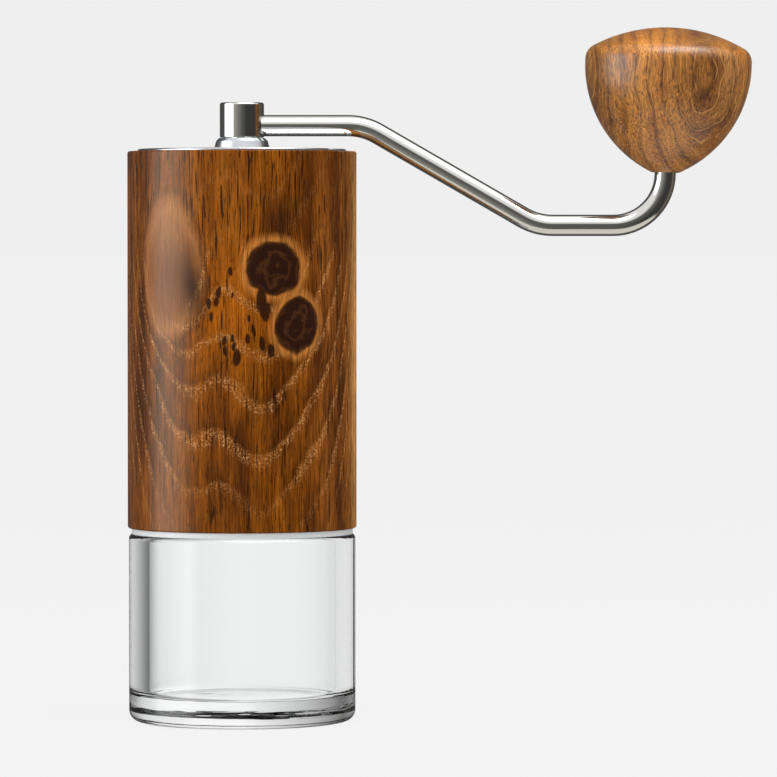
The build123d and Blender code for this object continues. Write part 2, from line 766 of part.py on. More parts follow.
def dial():
    edge = 0.6
    body = turned([
        (NUT_RADIUS, dial_bottom),
        (DIAL_RADIUS - edge, dial_bottom),
        (DIAL_RADIUS, dial_bottom + edge),
        (DIAL_RADIUS, dial_top - edge),
        (DIAL_RADIUS - edge, dial_top),
        (NUT_RADIUS, dial_top),
    ])
    grip = Pos(DIAL_RADIUS + GRIP_RADIUS / 3, 0, 0) * disc(GRIP_RADIUS, dial_bottom - 1, dial_top + 1)
    pocket = Pos(CLICK_CIRCLE, 0, 0) * disc(DETENT_RADIUS + RUN_GAP, dial_top - DETENT_POCKET, dial_top + 1)
    flange = disc(NUT_FLANGE_RADIUS, dial_bottom - 1, dial_bottom + NUT_FLANGE)
    return body - around(grip, DIAL_GRIPS) - around(pocket, DETENT_COUNT) - flange


def dial_nut():
    """Brass bush pressed into the dial: threaded below, bored above to clear the axle's flats."""
    hole = AXLE_THREAD_RADIUS + RUN_GAP
    upper_hole = AXLE_RADIUS + RUN_GAP
    step = dial_top - BURR_TRAVEL - 2 * AXLE_STEP
    return turned([
        (hole, dial_bottom),
        (NUT_FLANGE_RADIUS, dial_bottom),
        (NUT_FLANGE_RADIUS, dial_bottom + NUT_FLANGE),
        (NUT_RADIUS, dial_bottom + NUT_FLANGE),
        (NUT_RADIUS, dial_top),
        (upper_hole, dial_top),
        (upper_hole, step),
        (hole, step),
    ])


# ---- Crank ----
def crank_hub():
    top = hub_bottom + HUB_HEIGHT
    body = disc(HUB_RADIUS, hub_bottom, top)
    body = fillet(body.edges().group_by(Axis.Z)[-1], HUB_EDGE)
    body = chamfer(body.edges().group_by(Axis.Z)[0], 0.2)
    body -= double_d(AXLE_RADIUS + DRIVE_GAP, AXLE_FLAT + DRIVE_GAP, hub_bottom - 1, axle_top + 0.3)
    seat = Pos(HUB_RADIUS - ROD_SEAT, 0, rod_level) * Rot(0, 90, 0) * disc(ROD_RADIUS, 0, 2 * ROD_SEAT)
    return body - seat


def arm_route():
    """Centre line of the bent rod, from the hub's seat to the tip in the knob."""
    direction = knob_frame.z_dir
    foot = Vector(*knob_frame.origin)
    last_corner = foot - direction * (KNOB_FOOT / cos(lean))
    tip = foot + direction * tip_height
    return FilletPolyline(
        (HUB_RADIUS - ROD_SEAT, 0, rod_level),
        (FIRST_CORNER, 0, rod_level),
        (second_corner, 0, lower_level),
        last_corner,
        tip,
        radius=[SHOULDER_BEND, SHOULDER_BEND, KNOB_BEND],
    )


def crank_arm():
    route = arm_route()
    rod = sweep(Plane(origin=route @ 0, z_dir=route % 0) * Circle(ROD_RADIUS), path=route)
    rod = chamfer(rod.edges().group_by(Axis.Z)[-1], 0.5)
    return rod - knob_frame * snap_groove()


snap_level = tip_height - SNAP_BACK


def snap_groove():
    depth = SNAP_WIRE
    return ring(ROD_RADIUS - depth, ROD_RADIUS + 2, snap_level - SNAP_WIRE, snap_level + SNAP_WIRE)


def knob_snap_ring():
    """Wire ring in the rod's groove that stands out into a groove in the bush."""
    low, high = snap_level - SNAP_WIRE, snap_level + SNAP_WIRE
    wire = ring(ROD_RADIUS - SNAP_WIRE, ROD_RADIUS + SNAP_WIRE, low, high)
    return knob_frame * opened(wire, ROD_RADIUS + SNAP_WIRE, low, high)


def knob_bush():
    """Closed brass bush in the knob."""
    low, high = BUSH_INSET, BUSH_INSET + BUSH_LENGTH
    half = SNAP_WIRE + 0.1
    body = ring(bush_bore, bush_radius, low, high - BUSH_CAP) + disc(bush_radius, high - BUSH_CAP, high)
    groove = ring(bush_bore - 0.1, ROD_RADIUS + SNAP_WIRE + 0.1, snap_level - half, snap_level + half)
    return knob_frame * (body - groove)


def knob():
    """Turned wooden knob: a flank arc, a rounded rim and a shallow dome."""
    flank_centre = KNOB_RADIUS - FLANK_RADIUS
    foot_radius = flank_centre + sqrt(FLANK_RADIUS**2 - KNOB_WAIST**2)
    dome_centre = KNOB_HEIGHT - DOME_RADIUS
    rim_r = KNOB_RADIUS - RIM_RADIUS
    rim_z = dome_centre + sqrt((DOME_RADIUS - RIM_RADIUS) ** 2 - rim_r**2)
    spread = atan2(rim_z - dome_centre, rim_r)
    meet = (DOME_RADIUS * cos(spread), dome_centre + DOME_RADIUS * sin(spread))
    edges = [
        line((0, 0), (foot_radius, 0)),
        arc((foot_radius, 0), (flank_centre, KNOB_WAIST), (KNOB_RADIUS, KNOB_WAIST)),
        line((KNOB_RADIUS, KNOB_WAIST), (KNOB_RADIUS, rim_z)),
        arc((KNOB_RADIUS, rim_z), (rim_r, rim_z), meet),
        arc(meet, (0, dome_centre), (0, KNOB_HEIGHT)),
        line((0, KNOB_HEIGHT), (0, 0)),
    ]
    body = turned_edges(*edges) - disc(bush_radius, -1, BUSH_INSET + BUSH_LENGTH)
    return knob_frame * body


# ---- Writing the nodes ----
def main():
    os.makedirs("parts", exist_ok=True)
    save("wood_sleeve", wood_sleeve())
    save("body_tube", body_tube())
    save("jar", jar())
    save("jar_gasket", jar_gasket())
    save("lid", lid())
    save("lid_seal", lid_seal())
    for name, level in (("lower", lower_bearing), ("upper", upper_bearing)):
        outer, inner, balls, cage = bearing(level)
        save(f"{name}_bearing_outer_race", outer)
        save(f"{name}_bearing_inner_race", inner)
        save(f"{name}_bearing_balls", *balls)
        save(f"{name}_bearing_cage", cage)
        save(f"{name}_bearing_circlip", bearing_clip(level + BEARING_WIDTH))
        save(f"{name}_bearing_bridge", bridge(level))
    carrier_level, lower_level_screws, upper_level_screws = screw_levels()
    save("burr_carrier_screws", *placed_screws(carrier_level, short_screw(carrier_screw_length)))
    save("lower_bridge_screws", *placed_screws(lower_level_screws, countersunk_screw()))
    save("upper_bridge_screws", *placed_screws(upper_level_screws, countersunk_screw()))
    for name, level in zip(("lower", "upper_inner", "upper_outer"), axle_clip_levels()):
        save(f"axle_circlip_{name}", axle_clip(level))
    save("axle", axle())
    save("burr_carrier", burr_carrier())
    save("burr_retaining_ring", burr_ring())
    save("retaining_ring_screws", *around(ring_screw(), RING_SCREW_COUNT, BRIDGE_FIRST_ARM + 60))
    save("outer_burr", outer_burr())
    save("inner_burr", inner_burr())
    save("spring_seat", spring_seat())
    save("burr_spring", coil(SPRING_RADIUS, SPRING_WIRE, SPRING_TURNS, spring_floor, spring_top))
    save("click_plate", click_plate())
    save("adjusting_dial", dial())
    save("dial_nut", dial_nut())
    save("detent_balls", *around(detent_ball(), DETENT_COUNT))
    save("detent_springs", *around(detent_spring(), DETENT_COUNT))
    save("crank_hub", crank_hub())
    save("crank_arm", crank_arm())
    save("knob_snap_ring", knob_snap_ring())
    save("knob_bush", knob_bush())
    save("knob", knob())


main()
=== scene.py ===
import math

import bmesh
import bpy
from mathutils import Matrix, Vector


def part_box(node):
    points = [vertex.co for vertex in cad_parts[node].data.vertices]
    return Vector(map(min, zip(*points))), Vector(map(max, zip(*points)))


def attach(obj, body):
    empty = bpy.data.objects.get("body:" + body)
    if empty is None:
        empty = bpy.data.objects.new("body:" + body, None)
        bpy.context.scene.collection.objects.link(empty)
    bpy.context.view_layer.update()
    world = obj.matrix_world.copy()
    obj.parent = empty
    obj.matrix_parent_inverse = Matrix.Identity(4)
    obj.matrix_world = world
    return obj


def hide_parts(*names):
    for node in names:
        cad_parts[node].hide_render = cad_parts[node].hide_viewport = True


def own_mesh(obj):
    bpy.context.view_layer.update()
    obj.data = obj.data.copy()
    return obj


bl_info = {
    "name": "Hand crank coffee grinder looks",
    "version": (1, 0, 0),
    "blender": (4, 5, 0),
    "location": "3D View > Sidebar > Grinder",
    "description": "Finishes the parts of a hand crank coffee grinder and sets its studio",
    "category": "Object",
}

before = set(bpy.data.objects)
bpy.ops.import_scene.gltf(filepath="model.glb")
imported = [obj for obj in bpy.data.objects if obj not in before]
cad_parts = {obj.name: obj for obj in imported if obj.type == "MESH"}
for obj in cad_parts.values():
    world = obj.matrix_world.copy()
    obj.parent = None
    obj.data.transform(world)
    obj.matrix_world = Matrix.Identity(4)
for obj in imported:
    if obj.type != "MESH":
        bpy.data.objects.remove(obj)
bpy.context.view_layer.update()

MM = 0.001
SLEEVE_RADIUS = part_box("wood_sleeve")[1][0]
KNOB_LOW, KNOB_HIGH = (Vector(corner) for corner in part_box("knob"))
JAR_FLOOR = 6.8  # thickness of the jar's foot, in mm
NOISE_LOW, NOISE_HIGH = 0.3, 0.7  # where most of a noise texture's values lie

MATH = "ShaderNodeMath"
VECTOR = "ShaderNodeVectorMath"
NOISE = "ShaderNodeTexNoise"
RAMP = "ShaderNodeValToRGB"
BUMP = "ShaderNodeBump"
MIX = "ShaderNodeMix"  # for colours, its inputs are 0 the mask, 6 the colour under it and 7 the one over it
COLOURS = {"out": 2, "data_type": "RGBA"}
RANGE = "ShaderNodeMapRange"  # its inputs are 0 the value, 1 and 2 its range, 3 and 4 what that becomes
SMOOTH = {"interpolation_type": "SMOOTHSTEP"}


def linear(hex_colour):
    """A linear RGBA colour from an sRGB hex value."""
    channels = [int(hex_colour[i : i + 2], 16) / 255 for i in (1, 3, 5)]
    low = [c / 12.92 if c <= 0.04045 else ((c + 0.055) / 1.055) ** 2.4 for c in channels]
    return (*low, 1.0)


def add(tree, kind, inputs=None, out=0, **settings):
    """Adds a node with its settings and links, and returns one of its outputs."""
    node = tree.nodes.new(kind)
    for name, value in settings.items():
        setattr(node, name, value)
    for socket, value in (inputs or {}).items():
        if isinstance(value, bpy.types.NodeSocket):
            tree.links.new(value, node.inputs[socket])
        else:
            node.inputs[socket].default_value = value
    return node.outputs[out] if node.outputs else None


def set_stops(colour, stops):
    """Sets a colour ramp's stops, each a (place, hex colour) pair."""
    band = colour.node.color_ramp
    while len(band.elements) < len(stops):
        band.elements.new(0.5)
    for element, (place, hex_colour) in zip(band.elements, stops):
        element.position = place
        element.color = linear(hex_colour)


def new_material(name):
    """A node material with nothing in it yet, as (material, tree)."""
    material = bpy.data.materials.new(name)
    material.use_nodes = True
    tree = material.node_tree
    tree.nodes.clear()
    return material, tree


def dress(material, *node_names):
    """Gives CAD nodes their material."""
    for node_name in node_names:
        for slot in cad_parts[node_name].material_slots:
            slot.link = "OBJECT"
            slot.material = material


# ---- Wood ----
def knot_group():
    """Node group: how near a point on the unrolled surface is to a knot, and how the knot bends the grain."""
    tree = bpy.data.node_groups.new("knot", "ShaderNodeTree")
    for name in ("Point", "Centre", "Reach"):
        tree.interface.new_socket(name, in_out="INPUT", socket_type="NodeSocketVector")
    for name in ("Near", "Radius", "Sway"):
        tree.interface.new_socket(name, in_out="OUTPUT", socket_type="NodeSocketFloat")
    sockets = add(tree, "NodeGroupInput").node.outputs
    offset = add(tree, VECTOR, {0: sockets["Point"], 1: sockets["Centre"]}, operation="SUBTRACT")
    offset = add(tree, VECTOR, {0: offset, 1: sockets["Reach"]}, operation="DIVIDE")
    radius = add(tree, VECTOR, {0: offset}, out="Value", operation="LENGTH")
    square = add(tree, MATH, {0: radius, 1: radius}, operation="MULTIPLY")
    square = add(tree, MATH, {0: square, 1: -1.0}, operation="MULTIPLY")
    near = add(tree, MATH, {0: square}, operation="EXPONENT")
    across = add(tree, "ShaderNodeSeparateXYZ", {0: offset})
    sway = add(tree, MATH, {0: across, 1: near}, operation="MULTIPLY")
    add(tree, "NodeGroupOutput", {"Near": near, "Radius": radius, "Sway": sway})
    return tree


# Each figure in the wood: round the body from the front and up from the foot, half width, half height, in mm,
# then, where it bends the grain, how far it lifts the growth rings and pushes the grain aside, in mm.
EYE = ((-19.5, 118.6), (9.8, 17.7), 28.0, 3.0)
EYE_CORE = ((-12.9, 113.8), (3.4, 8.2), 4.0, 0.5)
EYE_CRESCENT = ((-20.0, 129.0), (6.0, 6.5))
UPPER_KNOT = ((9.6, 119.0), (6.6, 6.5), 16.0, 4.5)
LOWER_KNOT = ((15.6, 104.4), (5.5, 6.6), 14.0, 4.5)
GOLD = ((-2.0, 108.5), (10.5, 19.0))
# painted rim light: a pale band up the right side, where light from the right grazes the body
RIM_LIGHT_BAND = ((43.0, 100.0), (5.0, 60.0))
SMOKE = ((11.0, 131.0), (5.0, 8.0))
# Each pin knot: round the body, up from the foot and half width, in mm.
PIN_KNOTS = [
    (-8.0, 109.6, 0.9), (-5.6, 112.7, 0.9), (-6.0, 110.1, 0.8), (-7.5, 106.2, 0.7), (-2.0, 118.3, 0.7),
    (2.9, 105.7, 0.6), (3.9, 102.9, 0.7), (2.1, 100.9, 0.7), (-3.8, 100.1, 0.6), (-1.8, 100.6, 0.6),
    (-3.6, 97.8, 0.7), (-1.3, 98.5, 0.6), (6.2, 99.6, 1.1), (8.6, 97.8, 1.0), (-0.5, 95.5, 1.3),
    (-1.6, 112.0, 0.5), (6.0, 110.8, 1.7), (7.2, 107.9, 1.4),
]
PIN_HEIGHT = 2.2  # a pin knot's height as a multiple of its width
RING_SPACING = 13.5  # between the burl's growth rings, in mm
WAVE_WIDTH, WAVE_HEIGHT = 24.0, 3.6  # the rings' wave across the front, in mm
STRAIGHT_GRAIN = (116.0, 128.0)  # heights between which the ring figure gives way to straight grain, in mm
LOWEST_RINGS = (58.0, 70.0)  # heights over which the ring figure sets in, in mm
RING_TONES = [(0.0, "#c2c2c2"), (0.08, "#d0d0d0"), (0.17, "#9c9c9c"), (0.5, "#b8b8b8"), (1.0, "#c2c2c2")]
FLECK_BAND = [(0.0, "#ffffff"), (0.10, "#ffffff"), (0.20, "#000000"), (0.86, "#000000"), (1.0, "#ffffff")]
EYE_TONES = [
    (0.10, "#55301a"), (0.35, "#653a1e"), (0.55, "#764520"), (0.66, "#8c5a30"), (0.74, "#7c4a22"),
    (0.80, "#4c2609"),
]
HEART_TONES = [(0.0, "#24100a"), (0.5, "#321a0c"), (0.85, "#371d0e"), (1.0, "#402412")]
OAK_TONES = [(0.0, "#7c4612"), (0.14, "#4c270a"), (0.30, "#8e5418"), (0.7, "#a8691e"), (1.0, "#965c18")]
OAK_RING_SPACING = 3.1  # in mm
OAK_HEART = (8.0, 7.0)  # the tree's heart, to the right of the knob's middle and above it, in mm


def drift(tree, place, scale, detail, roughness, reach):
    """A slow random offset of up to half the reach each way, so that no outline is a clean curve."""
    offset = add(
        tree,
        NOISE,
        {"Vector": place, "Scale": scale, "Detail": detail, "Roughness": roughness},
        out="Color",
    )
    offset = add(tree, VECTOR, {0: offset, 1: (0.5, 0.5, 0.5)}, operation="SUBTRACT")
    return add(tree, VECTOR, {0: offset, 1: reach}, operation="MULTIPLY")


def fibres(tree, grain, across, along, detail, roughness):
    """Noise drawn out along the grain: across and along in cycles a mm."""
    stretched = add(tree, VECTOR, {0: grain, 1: (across, across, along)}, operation="MULTIPLY")
    return add(tree, NOISE, {"Vector": stretched, "Scale": 1.0, "Detail": detail, "Roughness": roughness})


def bent_grain(tree, angle, height, radius, bending):
    """Where each point lies in the grain: its angle round the body, pushed aside by the knots, and height."""
    turn = angle
    for spec, outputs in bending:
        push = -spec[3] / radius
        turn = add(tree, MATH, {0: outputs["Sway"], 1: push, 2: turn}, operation="MULTIPLY_ADD")
    sine = add(tree, MATH, {0: turn}, operation="SINE")
    cosine = add(tree, MATH, {0: turn}, operation="COSINE")
    ring_place = add(tree, "ShaderNodeCombineXYZ", {0: sine, 1: cosine})
    ring_place = add(tree, VECTOR, {0: ring_place, "Scale": radius}, operation="SCALE")
    upward = add(tree, "ShaderNodeCombineXYZ", {2: height})
    return add(tree, VECTOR, {0: ring_place, 1: upward}, operation="ADD")


def growth_rings(tree, axes, round_body, radius, lifts):
    """Growth rings, from 0 to 1 each: a U of cathedral grain that steepens towards the sides, with a wave."""
    behind = add(tree, MATH, {0: axes[1], 1: 1 / radius, 2: 1.0}, operation="MULTIPLY_ADD")
    steep = add(tree, MATH, {0: behind, 1: 75.0, 2: 32.0}, operation="MULTIPLY_ADD")
    bowl = add(tree, MATH, {0: steep, 1: behind}, operation="MULTIPLY")
    phase = add(tree, MATH, {0: round_body, 1: 2 * math.pi / WAVE_WIDTH, 2: 1.18}, operation="MULTIPLY_ADD")
    wave = add(tree, MATH, {0: phase}, operation="COSINE")
    fade = add(tree, MATH, {0: behind, 1: -4.0}, operation="MULTIPLY")
    fade = add(tree, MATH, {0: fade}, operation="EXPONENT")
    wave = add(tree, MATH, {0: wave, 1: fade}, operation="MULTIPLY")
    growth = add(tree, MATH, {0: axes[2], 1: bowl}, operation="SUBTRACT")
    growth = add(tree, MATH, {0: wave, 1: -WAVE_HEIGHT, 2: growth}, operation="MULTIPLY_ADD")
    for share, reach in lifts:
        growth = add(tree, MATH, {0: share, 1: reach, 2: growth}, operation="MULTIPLY_ADD")
    turns = add(tree, MATH, {0: growth, 1: 1 / RING_SPACING, 2: 0.22}, operation="MULTIPLY_ADD")
    return add(tree, MATH, {0: turns}, operation="FRACT")


def pale_eye(tree, colour, edge, core, crescent):
    """Lays the eye over the colour: brightest on its upper left, with a dark core."""
    reach = add(tree, MATH, {0: edge, 1: 0.6}, operation="MULTIPLY")
    tone = add(tree, RAMP, {0: reach})
    set_stops(tone, EYE_TONES)
    eye_mask = add(tree, RANGE, {0: edge, 1: 1.22, 2: 1.5, 3: 0.9, 4: 0.0}, **SMOOTH)
    colour = add(tree, MIX, {0: eye_mask, 6: colour, 7: tone}, **COLOURS)
    crescent_mask = add(tree, MATH, {0: crescent, 1: 0.5}, operation="MULTIPLY")
    colour = add(tree, MIX, {0: crescent_mask, 6: colour, 7: linear("#9c683c")}, **COLOURS)
    core_mask = add(tree, MATH, {0: core, 1: 0.95}, operation="MULTIPLY")
    return add(tree, MIX, {0: core_mask, 6: colour, 7: linear("#26120a")}, **COLOURS)


def black_knot(tree, colour, radius, rough_edge, shade):
    """Lays a black knot over the colour, with a golden halo and a waved heart."""
    edge = add(tree, MATH, {0: rough_edge, 1: 0.35, 2: radius}, operation="MULTIPLY_ADD")
    halo = add(tree, RANGE, {0: edge, 1: 1.75, 2: 1.30, 3: 0.0, 4: 0.8}, **SMOOTH)
    golden = add(tree, VECTOR, {0: linear("#a8682c")[:3], "Scale": shade}, operation="SCALE")
    colour = add(tree, MIX, {0: halo, 6: colour, 7: golden}, **COLOURS)
    rim = add(tree, RANGE, {0: edge, 1: 1.34, 2: 1.18, 3: 0.0, 4: 0.92}, **SMOOTH)
    colour = add(tree, MIX, {0: rim, 6: colour, 7: linear("#1d0d05")}, **COLOURS)
    waves = add(tree, MATH, {0: edge, 1: 11.0}, operation="MULTIPLY")
    waves = add(tree, MATH, {0: rough_edge, 1: 14.0, 2: waves}, operation="MULTIPLY_ADD")
    waves = add(tree, MATH, {0: waves}, operation="SINE")
    heart = add(tree, RAMP, {0: waves})
    set_stops(heart, HEART_TONES)
    inside = add(tree, RANGE, {0: edge, 1: 1.20, 2: 1.08, 3: 0.0, 4: 0.9}, **SMOOTH)
    return add(tree, MIX, {0: inside, 6: colour, 7: heart}, **COLOURS)


def burl_wood(finish):
    """Oiled burl veneer, turned and sanded: wide porous growth rings, two black knots and a pale eye."""
    material, tree = new_material("oiled_burl_veneer")
    knot = knot_group()
    place = add(tree, "ShaderNodeTexCoord", out="Object")
    place = add(tree, VECTOR, {0: place, "Scale": 1 / MM}, operation="SCALE")
    axes = add(tree, "ShaderNodeSeparateXYZ", {0: place}).node.outputs
    radius = SLEEVE_RADIUS / MM
    toward = add(tree, MATH, {0: axes[1], 1: -1.0}, operation="MULTIPLY")
    angle = add(tree, MATH, {0: axes[0], 1: toward}, operation="ARCTAN2")
    round_body = add(tree, MATH, {0: angle, 1: radius}, operation="MULTIPLY")
    flat = add(tree, "ShaderNodeCombineXYZ", {0: round_body, 1: axes[2]})
    bent = add(
        tree, VECTOR, {0: flat, 1: drift(tree, place, 0.09, 3.0, 0.6, (4.0, 4.0, 0.0))}, operation="ADD"
    )

    def figure(spec):
        inputs = {"Point": bent, "Centre": (*spec[0], 0.0), "Reach": (*spec[1], 1.0)}
        return add(tree, "ShaderNodeGroup", inputs, node_tree=knot).node.outputs

    eye, core, upper, lower = (figure(spec) for spec in (EYE, EYE_CORE, UPPER_KNOT, LOWER_KNOT))
    bending = ((EYE, eye), (EYE_CORE, core), (UPPER_KNOT, upper), (LOWER_KNOT, lower))
    grain = bent_grain(tree, angle, axes[2], radius, bending)

    spacing = finish.fibre_spacing / MM
    fibre = fibres(tree, grain, 0.5 / spacing, 0.07, 4.0, 0.65)
    hair = fibres(tree, grain, 1.1 / spacing, 0.16, 3.0, 0.7)
    # open pores: dark dashes 0.3 mm wide, 4 to 10 mm long near the top and shorter below
    pore = fibres(tree, grain, 1.5, 0.10, 1.0, 0.5)
    pit = fibres(tree, grain, 2.2, 0.45, 1.0, 0.5)
    # granular flecks 0.4 mm across where a growth ring is cut
    fleck = add(tree, NOISE, {"Vector": place, "Scale": 2.0, "Detail": 2.0, "Roughness": 0.7})
    slow = add(tree, NOISE, {"Vector": place, "Scale": 0.12})
    # what lifts the rings, and how far in mm: the knots, then noise that roughens them
    lifts = [(outputs["Near"], spec[2]) for spec, outputs in bending]
    lifts += [(slow, 7.0), (fibre, 4.0), (fleck, 2.0)]
    ring = growth_rings(tree, axes, round_body, radius, lifts)

    # the ring figure shows fully round the eye, and little in the straight grain on top and at the foot
    straight = add(tree, RANGE, {0: axes[2], 1: STRAIGHT_GRAIN[0], 2: STRAIGHT_GRAIN[1]}, **SMOOTH)
    ring_show = add(tree, MATH, {0: straight, 1: -0.85, 2: 1.0}, operation="MULTIPLY_ADD")
    lowest = add(
        tree, RANGE, {0: axes[2], 1: LOWEST_RINGS[0], 2: LOWEST_RINGS[1], 3: 0.25, 4: 1.0}, **SMOOTH
    )
    ring_show = add(tree, MATH, {0: ring_show, 1: lowest}, operation="MULTIPLY")

    # slow change of colour from dark heartwood to golden wood
    tone = fibres(tree, grain, 0.22, 0.03, 3.0, 0.55)
    dark, middle = tuple(finish.burl_dark), tuple(finish.burl_middle)
    middle_mask = add(tree, RANGE, {0: tone, 1: 0.32, 2: 0.60}, **SMOOTH)
    colour = add(tree, MIX, {0: middle_mask, 6: dark, 7: middle}, **COLOURS)
    light_mask = add(tree, RANGE, {0: tone, 1: 0.56, 2: 0.72, 3: 0.0, 4: 0.6}, **SMOOTH)
    colour = add(tree, MIX, {0: light_mask, 6: colour, 7: tuple(finish.burl_light)}, **COLOURS)
    # each ring: a pale porous line, a dark line above it, then a slow rise in tone
    shade_ring = add(tree, RAMP, {0: ring})
    set_stops(shade_ring, RING_TONES)
    shade_ring = add(tree, MIX, {0: ring_show, 6: linear("#bcbcbc"), 7: shade_ring}, **COLOURS)
    colour = add(tree, VECTOR, {0: colour, 1: shade_ring}, operation="MULTIPLY")
    colour = add(tree, VECTOR, {0: colour, "Scale": 2.0}, operation="SCALE")

    # a painted rim light as a pale band up the right side, golden wood between the knots, the eye, and smoke
    # over the upper knot
    # painted rim light: the pale band stands in for light grazing the right side
    painted_rim_light = add(tree, MATH, {0: figure(RIM_LIGHT_BAND)["Near"], 1: 0.8}, operation="MULTIPLY")
    colour = add(tree, MIX, {0: painted_rim_light, 6: colour, 7: linear("#dc9a4c")}, **COLOURS)
    gold_mask = add(tree, MATH, {0: figure(GOLD)["Near"], 1: 0.9}, operation="MULTIPLY")
    colour = add(tree, MIX, {0: gold_mask, 6: colour, 7: tuple(finish.burl_gold)}, **COLOURS)
    eye_edge = add(tree, MATH, {0: fibre, 1: 0.4, 2: eye["Radius"]}, operation="MULTIPLY_ADD")
    colour = pale_eye(tree, colour, eye_edge, core["Near"], figure(EYE_CRESCENT)["Near"])
    smoke = add(tree, MATH, {0: figure(SMOKE)["Near"], 1: 0.85}, operation="MULTIPLY")
    colour = add(tree, MIX, {0: smoke, 6: colour, 7: linear("#2c1508")}, **COLOURS)

    # pale flecks on the rings, outside the eye
    band = add(tree, RAMP, {0: ring})
    set_stops(band, FLECK_BAND)
    band = add(tree, MATH, {0: band, 1: ring_show}, operation="MULTIPLY")
    outside_eye = add(tree, RANGE, {0: eye_edge, 1: 0.9, 2: 1.2}, **SMOOTH)
    fleck_mask = add(tree, RANGE, {0: fleck, 1: 0.48, 2: 0.62, 3: 0.0, 4: 0.7}, **SMOOTH)
    fleck_mask = add(tree, MATH, {0: fleck_mask, 1: band}, operation="MULTIPLY")
    fleck_mask = add(tree, MATH, {0: fleck_mask, 1: outside_eye}, operation="MULTIPLY")
    colour = add(tree, MIX, {0: fleck_mask, 6: colour, 7: tuple(finish.burl_fleck)}, **COLOURS)

    # fibres, calmer in the eye
    fibre_shade = add(tree, RANGE, {0: fibre, 1: NOISE_LOW, 2: NOISE_HIGH, 3: 0.50, 4: 1.42})
    hair_shade = add(tree, RANGE, {0: hair, 1: NOISE_LOW, 2: NOISE_HIGH, 3: 0.52, 4: 1.50})
    shade = add(tree, MATH, {0: fibre_shade, 1: hair_shade}, operation="MULTIPLY")
    calm = add(tree, RANGE, {0: shade, 1: 0.0, 2: 2.0, 3: 0.62, 4: 1.38})
    calm_mask = add(tree, RANGE, {0: eye["Radius"], 1: 0.75, 2: 1.25, 3: 1.0, 4: 0.0}, **SMOOTH)
    eye_shade = add(tree, MIX, {0: calm_mask, 2: shade, 3: calm}, data_type="FLOAT")
    colour = add(tree, VECTOR, {0: colour, "Scale": eye_shade}, operation="SCALE")

    # open pores, more of them in the straight grain and few in the eye
    threshold = add(tree, MATH, {0: straight, 1: -0.045, 2: 0.655}, operation="MULTIPLY_ADD")
    pore_depth = add(tree, MATH, {0: pore, 1: threshold}, operation="SUBTRACT")
    pore_mask = add(tree, RANGE, {0: pore_depth, 1: 0.0, 2: 0.035, 3: 0.0, 4: 0.85}, **SMOOTH)
    pit_mask = add(tree, RANGE, {0: pit, 1: 0.63, 2: 0.70, 3: 0.0, 4: 0.6}, **SMOOTH)
    pore_mask = add(tree, MATH, {0: pore_mask, 1: pit_mask}, operation="MAXIMUM")
    few_in_eye = add(tree, RANGE, {0: eye_edge, 1: 1.0, 2: 1.5, 3: 0.25, 4: 1.0}, **SMOOTH)
    pore_mask = add(tree, MATH, {0: pore_mask, 1: few_in_eye}, operation="MULTIPLY")
    colour = add(tree, MIX, {0: pore_mask, 6: colour, 7: linear("#1c0c04")}, **COLOURS)

    rough_edge = add(tree, NOISE, {"Vector": place, "Scale": 0.22, "Detail": 3.0, "Roughness": 0.55})
    for outputs in (upper, lower):
        colour = black_knot(tree, colour, outputs["Radius"], rough_edge, shade)

    # pin knots: dark teardrops
    pins = 0.0
    for across, up, half in PIN_KNOTS:
        near = figure(((across, up), (half, PIN_HEIGHT * half)))["Near"]
        pins = add(tree, MATH, {0: pins, 1: near}, operation="MAXIMUM")
    pin_mask = add(tree, RANGE, {0: pins, 1: 0.35, 2: 0.65, 3: 0.0, 4: 0.95}, **SMOOTH)
    colour = add(tree, MIX, {0: pin_mask, 6: colour, 7: linear("#241006")}, **COLOURS)

    relief = add(tree, MATH, {0: pore_mask, 1: -1.0, 2: fibre}, operation="MULTIPLY_ADD")
    inputs = {
        "Base Color": colour,
        "Roughness": add(tree, RANGE, {0: hair, 1: NOISE_LOW, 2: NOISE_HIGH, 3: 0.24, 4: 0.34}),
        "Normal": add(tree, BUMP, {"Strength": 0.15, "Distance": 0.06 * MM, "Height": relief}),
        "IOR": 1.5,
        # the rubbed oil is glossier on the left than over the front
        "Specular IOR Level": add(
            tree, RANGE, {0: round_body, 1: -20.0, 2: -10.0, 3: 0.5, 4: 0.16}, **SMOOTH
        ),
        "Specular Tint": linear("#ffe2c4"),
    }
    shader = add(tree, "ShaderNodeBsdfPrincipled", inputs)
    add(tree, "ShaderNodeOutputMaterial", {"Surface": shader})
    return material


